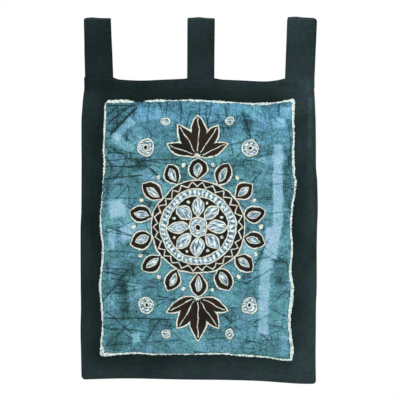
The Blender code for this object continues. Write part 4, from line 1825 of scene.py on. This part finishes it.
@dataclass
class TabLoop:
    """A tab: a sewn tube of cotton, pressed flat, up behind the heading and down again."""

    tab: Tab
    shape: HangShape
    thickness: float = 0.45
    gap: float = 1.05
    radius: float = 7.5
    front_foot_y: float = -0.45
    back_foot_y: float = 1.25
    front_overlap: float = 10.0
    back_overlap: float = 21.0
    turned_up: float = 8.0
    topstitch_inset: float = 5.5
    spread_power: float = 1.5
    crown_width: float = 0.17
    corner: float = 5.5
    leg_steps: int = 39
    fold_steps: int = 18
    foot_steps: int = 6
    overlap_steps: int = 3
    turned_up_shares: Pair = (0.4, 1.0)
    across_stations: tuple[float, ...] = (0.0, 5.0, 10.0, 15.0, 19.5)
    near_topstitch: tuple[float, ...] = (-1.5, -0.7, 0.0, 0.7, 1.5, 2.6, 3.7)
    edge_angles: tuple[float, ...] = (45.0, 90.0, 135.0)
    topstitch_press: Pair = (0.45, 0.9)
    sewn_above: float = 3.0
    sewn_over: float = 8.0
    sewn_press: float = 0.35
    wave_height: float = 0.22
    wave_lengths: tuple[float, float, float] = (9.0, 14.0, 11.0)
    widened_over: Pair = (1.6, 2.5)
    seam_closes_within: float = 0.00001

    @property
    def heading(self) -> float:
        """The height of the heading's edge at the middle of the tab."""
        middle = self.tab.left_foot + self.shape.strip_width / 2.0
        return float(SmoothCurve(TOP_EDGE)(np.array([middle]))[0])

    @staticmethod
    def shares(steps: int) -> np.ndarray:
        """Shares from 0 to 1 in even steps."""
        return np.linspace(0.0, 1.0, steps + 1)

    def path(self) -> np.ndarray:
        """The loop's middle line.

        Returns:
            Rows of y, z and a share that goes from 0 on the front leg to 1 on the back leg.
        """
        heading, radius = self.heading, self.radius
        rows: list[tuple[float, float, float]] = []
        for share in self.shares(self.overlap_steps)[:-1]:
            rows.append((self.front_foot_y, heading - self.front_overlap * (1.0 - share), 0.0))
        legs = []
        for foot, side in ((self.front_foot_y, -1.0), (self.back_foot_y, 1.0)):
            shares = self.shares(self.leg_steps)[:-1]
            spread = np.sin(shares * pi / 2.0) ** self.spread_power
            legs.append((foot + (side * radius - foot) * spread, heading * (1.0 - shares)))
        rows += [(y, z, 0.0) for y, z in zip(*legs[0])]
        for share in self.shares(self.fold_steps):
            rows.append((-radius * cos(pi * share), radius * sin(pi * share), float(share)))
        rows += [(y, z, 1.0) for y, z in list(zip(*legs[1]))[::-1]]
        turn = (self.back_foot_y - self.front_foot_y) / 2.0
        low = heading - self.back_overlap + turn
        for share in self.shares(self.foot_steps)[1:]:
            rows.append((self.back_foot_y, heading + (low - heading) * share, 1.0))
        middle_y = (self.back_foot_y + self.front_foot_y) / 2.0
        for angle in pi * self.shares(self.foot_steps)[1:]:
            rows.append((middle_y + turn * cos(angle), low - turn * sin(angle), 1.0))
        for share in self.turned_up_shares:
            rows.append((self.front_foot_y, low + self.turned_up * share, 1.0))
        return np.array(rows)

    def section(self) -> np.ndarray:
        """The tube's section, from its left edge round the outer layer and back.

        Returns:
            Rows of the place across, from -1 to 1 of the layers' gap, and the way round.
        """
        half = self.shape.strip_width / 2.0
        round_edge = self.gap / 2.0
        flat = half - round_edge
        seam = half - self.topstitch_inset
        right = [*self.across_stations, *(seam + away for away in self.near_topstitch), flat]
        across = [-place for place in right[:0:-1]] + right
        bends = [(round_edge * sin(radians(angle)), cos(radians(angle))) for angle in self.edge_angles]
        rows = [(place, 1.0) for place in across] + [(flat + out, layer) for out, layer in bends]
        rows += [(place, -1.0) for place in across[::-1]] + [(-flat - out, -layer) for out, layer in bends]
        rows.append(rows[0])
        section = np.array(rows)
        steps = np.hypot(np.diff(section[:, 0]), np.diff(section[:, 1]) * round_edge)
        return np.column_stack([section, np.concatenate([[0.0], np.cumsum(steps)])])

    def build(self) -> bpy.types.Object:
        """Builds the tab as a grid that is rolled into its tube and bent over the rod line."""
        path, section = self.path(), self.section()
        loop = grid(self.tab.name.replace("tab", "loop"), len(section), len(path))
        column, row = grid_places(loop, len(section), len(path))
        steps = np.hypot(np.diff(path[:, 0]), np.diff(path[:, 1]))
        run = np.concatenate([[0.0], np.cumsum(steps)])
        ahead = np.gradient(path[:, :2], axis=0)
        ahead /= np.linalg.norm(ahead, axis=1, keepdims=True)
        y, z, over = (path[row, index] for index in range(3))
        place, layer, way = (section[column, index] for index in range(3))
        half = self.shape.strip_width / 2.0
        from_seam = np.abs(np.abs(place) - half + self.topstitch_inset)
        press, press_width = self.topstitch_press
        gap = self.gap * (1.0 - press * mound(from_seam, press_width))
        sewn = eased((self.heading + self.sewn_above - z) / self.sewn_over)
        gap = gap * (1.0 - self.sewn_press * sewn)
        out_y, out_z = -ahead[row, 1], ahead[row, 0]
        long, slant, wide = self.wave_lengths
        wave = self.wave_height * np.sin(run[row] / long + place / slant)
        wave = wave * np.sin(place / wide + self.tab.left_top)
        lift = layer * gap / 2.0 + wave * (1.0 - sewn)
        down = np.clip(z / self.heading, 0.0, 1.0)
        left = self.tab.left_top + (self.tab.left_foot - self.tab.left_top) * down
        shift_range = self.tab.back_shift_foot - self.tab.back_shift_top
        shift = (self.tab.back_shift_top + shift_range * down) * eased(over)
        share = place / self.shape.strip_width + 0.5
        hump = self.tab.crown * mound(share - self.tab.crown_at, self.crown_width)
        tilt = self.tab.lift_left + (self.tab.lift_right - self.tab.lift_left) * share
        near_edge = np.clip((np.abs(place) - half) / self.corner + 1.0, 0.0, 1.0)
        drop = np.where(place < 0.0, self.tab.drop_left, self.tab.drop_right) * near_edge**2
        near_fold = np.clip(z / self.radius, 0.0, 1.0)
        rise = hump * np.sqrt(near_fold) + (tilt - drop) * near_fold
        start, slope = self.widened_over
        widened = self.tab.wider_top / self.shape.strip_width * eased(start - slope * down)
        x = left + shift + half + place * (1.0 + widened)
        place_points(loop, np.stack([x, y + out_y * lift, z + rise + out_z * lift], axis=-1))
        map_cloth(loop, np.stack([way, run[row]], axis=-1))
        carry(loop, "edge", half - np.abs(place))
        edit_all(loop)
        bpy.ops.mesh.remove_doubles(threshold=self.seam_closes_within)
        bpy.ops.object.mode_set(mode="OBJECT")
        thicken(loop, self.thickness)
        fold = float(run[np.argmax(path[:, 1])])
        finish = TabCotton().make(loop.name + "_cotton", fold, self.tab.fading_and_light)
        loop.data.materials.append(finish)
        return loop

    @property
    def flat_size(self) -> tuple[float, float]:
        """The width and length of the strip that the tube was sewn from, in metres."""
        path, section = self.path(), self.section()
        length = float(np.hypot(np.diff(path[:, 0]), np.diff(path[:, 1])).sum())
        return section[-1, 2] * MM, length * MM


class Lamp(NamedTuple):
    """A soft square light: its name, its place and size in metres, and its power in watts."""

    name: str
    place: Vector
    size: float
    power: float


@dataclass
class Studio:
    """The camera, soft lights, white surroundings and a pale floor, whose reach is in metres."""

    centre_x: float = 2.5
    centre_z: float = -379.4
    distance: float = 3000.0
    view_width: float = 850.4
    sensor_width: float = 36.0
    sees_to: float = 50.0
    lamps: tuple[Lamp, ...] = (
        Lamp("key_light", (1.3, -2.1, 1.7), 1.1, 73.0),
        Lamp("fill_light", (-1.9, -2.0, 0.1), 1.4, 16.0),
        Lamp("back_light", (-1.2, 2.4, 0.9), 1.4, 50.0),
    )
    surroundings_seen: float = 1.0
    surroundings_felt: float = 0.5
    floor_z: float = -1300.0
    floor_reach: float = 3.4
    floor_fades_from: float = 0.45
    floor_colours: tuple[Colour, Colour] = ((0.72, 0.72, 0.71), (0.76, 0.76, 0.75))
    floor_cloud_scale: float = 3.0
    floor_roughness: float = 0.8

    def camera(self) -> None:
        """Places the camera square to the cloth, as the photograph was taken."""
        data = bpy.data.cameras.new("camera")
        data.sensor_width = self.sensor_width
        data.lens = data.sensor_width * self.distance / self.view_width
        data.clip_end = self.sees_to
        camera = bpy.data.objects.new("camera", data)
        camera.location = (self.centre_x * MM, -self.distance * MM, self.centre_z * MM)
        camera.rotation_euler = (radians(90.0), 0.0, 0.0)
        bpy.context.scene.collection.objects.link(camera)
        bpy.context.scene.camera = camera

    def light(self, lamp: Lamp) -> None:
        """Adds a light that faces the middle of the cloth."""
        data = bpy.data.lights.new(lamp.name, "AREA")
        data.shape = "SQUARE"
        data.size = lamp.size
        data.energy = lamp.power
        made = bpy.data.objects.new(lamp.name, data)
        made.location = lamp.place
        run_x, run_y = self.centre_x * MM - lamp.place[0], -lamp.place[1]
        drop = lamp.place[2] - self.centre_z * MM
        made.rotation_euler = (atan2(hypot(run_x, run_y), drop), 0.0, atan2(-run_x, run_y))
        bpy.context.scene.collection.objects.link(made)

    def surroundings(self) -> None:
        """White as the camera sees them, and softer as a light."""
        world = bpy.data.worlds.new("white studio")
        world.use_nodes = True
        tree = world.node_tree
        tree.nodes.clear()
        rays, mixed = tree.nodes.new("ShaderNodeLightPath"), tree.nodes.new("ShaderNodeMixShader")
        out = tree.nodes.new("ShaderNodeOutputWorld")
        tree.links.new(rays.outputs["Is Camera Ray"], mixed.inputs[0])
        for socket, strength in ((1, self.surroundings_felt), (2, self.surroundings_seen)):
            white = tree.nodes.new("ShaderNodeBackground")
            white.inputs["Color"].default_value = (1.0, 1.0, 1.0, 1.0)
            white.inputs["Strength"].default_value = strength
            tree.links.new(white.outputs[0], mixed.inputs[socket])
        tree.links.new(mixed.outputs[0], out.inputs["Surface"])
        bpy.context.scene.world = world
        bpy.context.scene.view_settings.view_transform = "Standard"

    def floor(self) -> None:
        """A pale floor well under the cloth, which fades out before it shows behind the cloth."""
        deselect_all()
        bpy.ops.mesh.primitive_plane_add(size=1.0)
        floor = bpy.context.object
        floor.name = "studio_floor"
        floor.scale = (2.0 * self.floor_reach, 2.0 * self.floor_reach, 1.0)
        floor.location = (0.0, 0.0, self.floor_z * MM)
        bpy.ops.object.transform_apply(location=True, rotation=True, scale=True)
        graph = Graph("pale_floor")
        place = graph.node("ShaderNodeTexCoord", output="Object")
        inputs = {"Vector": place, "Scale": self.floor_cloud_scale}
        colour = graph.mix(graph.node("ShaderNodeTexNoise", {}, inputs), *self.floor_colours)
        level = graph.vector("MULTIPLY", place, (1.0, 1.0, 0.0))
        far = graph.vector("LENGTH", level, output="Value")
        there = graph.ease(far, self.floor_reach * self.floor_fades_from, self.floor_reach)
        surface = {"Base Color": colour, "Roughness": self.floor_roughness, "Alpha": there}
        floor.data.materials.append(graph.ended(surface))

    def build(self) -> None:
        """Sets up the whole studio."""
        self.camera()
        self.surroundings()
        for lamp in self.lamps:
            self.light(lamp)
        self.floor()


def corners(box: tuple[object, object]) -> list[list[float]]:
    """A box's two corners as plain lists of numbers."""
    return [[float(value) for value in corner] for corner in box]


def main() -> None:
    """Builds every piece around the frame, in order."""
    logging.basicConfig(level=logging.INFO, format="%(name)s %(message)s")
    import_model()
    shape = HangShape()
    thread = Thread().make()

    cloth_maker = BatikCloth(shape)
    cloth = cloth_maker.build()
    keep(cloth, Finish.BATIK, "batik_cloth")
    stitches = cloth_maker.stitch(thread)
    for rows in stitches:
        keep(rows, Finish.BATIK)

    for tab in TABS:
        maker = TabLoop(tab, shape)
        loop = maker.build()
        keep(loop, Finish.DARK, tab.name)
        maker.flat_size

    Studio().build()


if __name__ == "__main__":
    main()
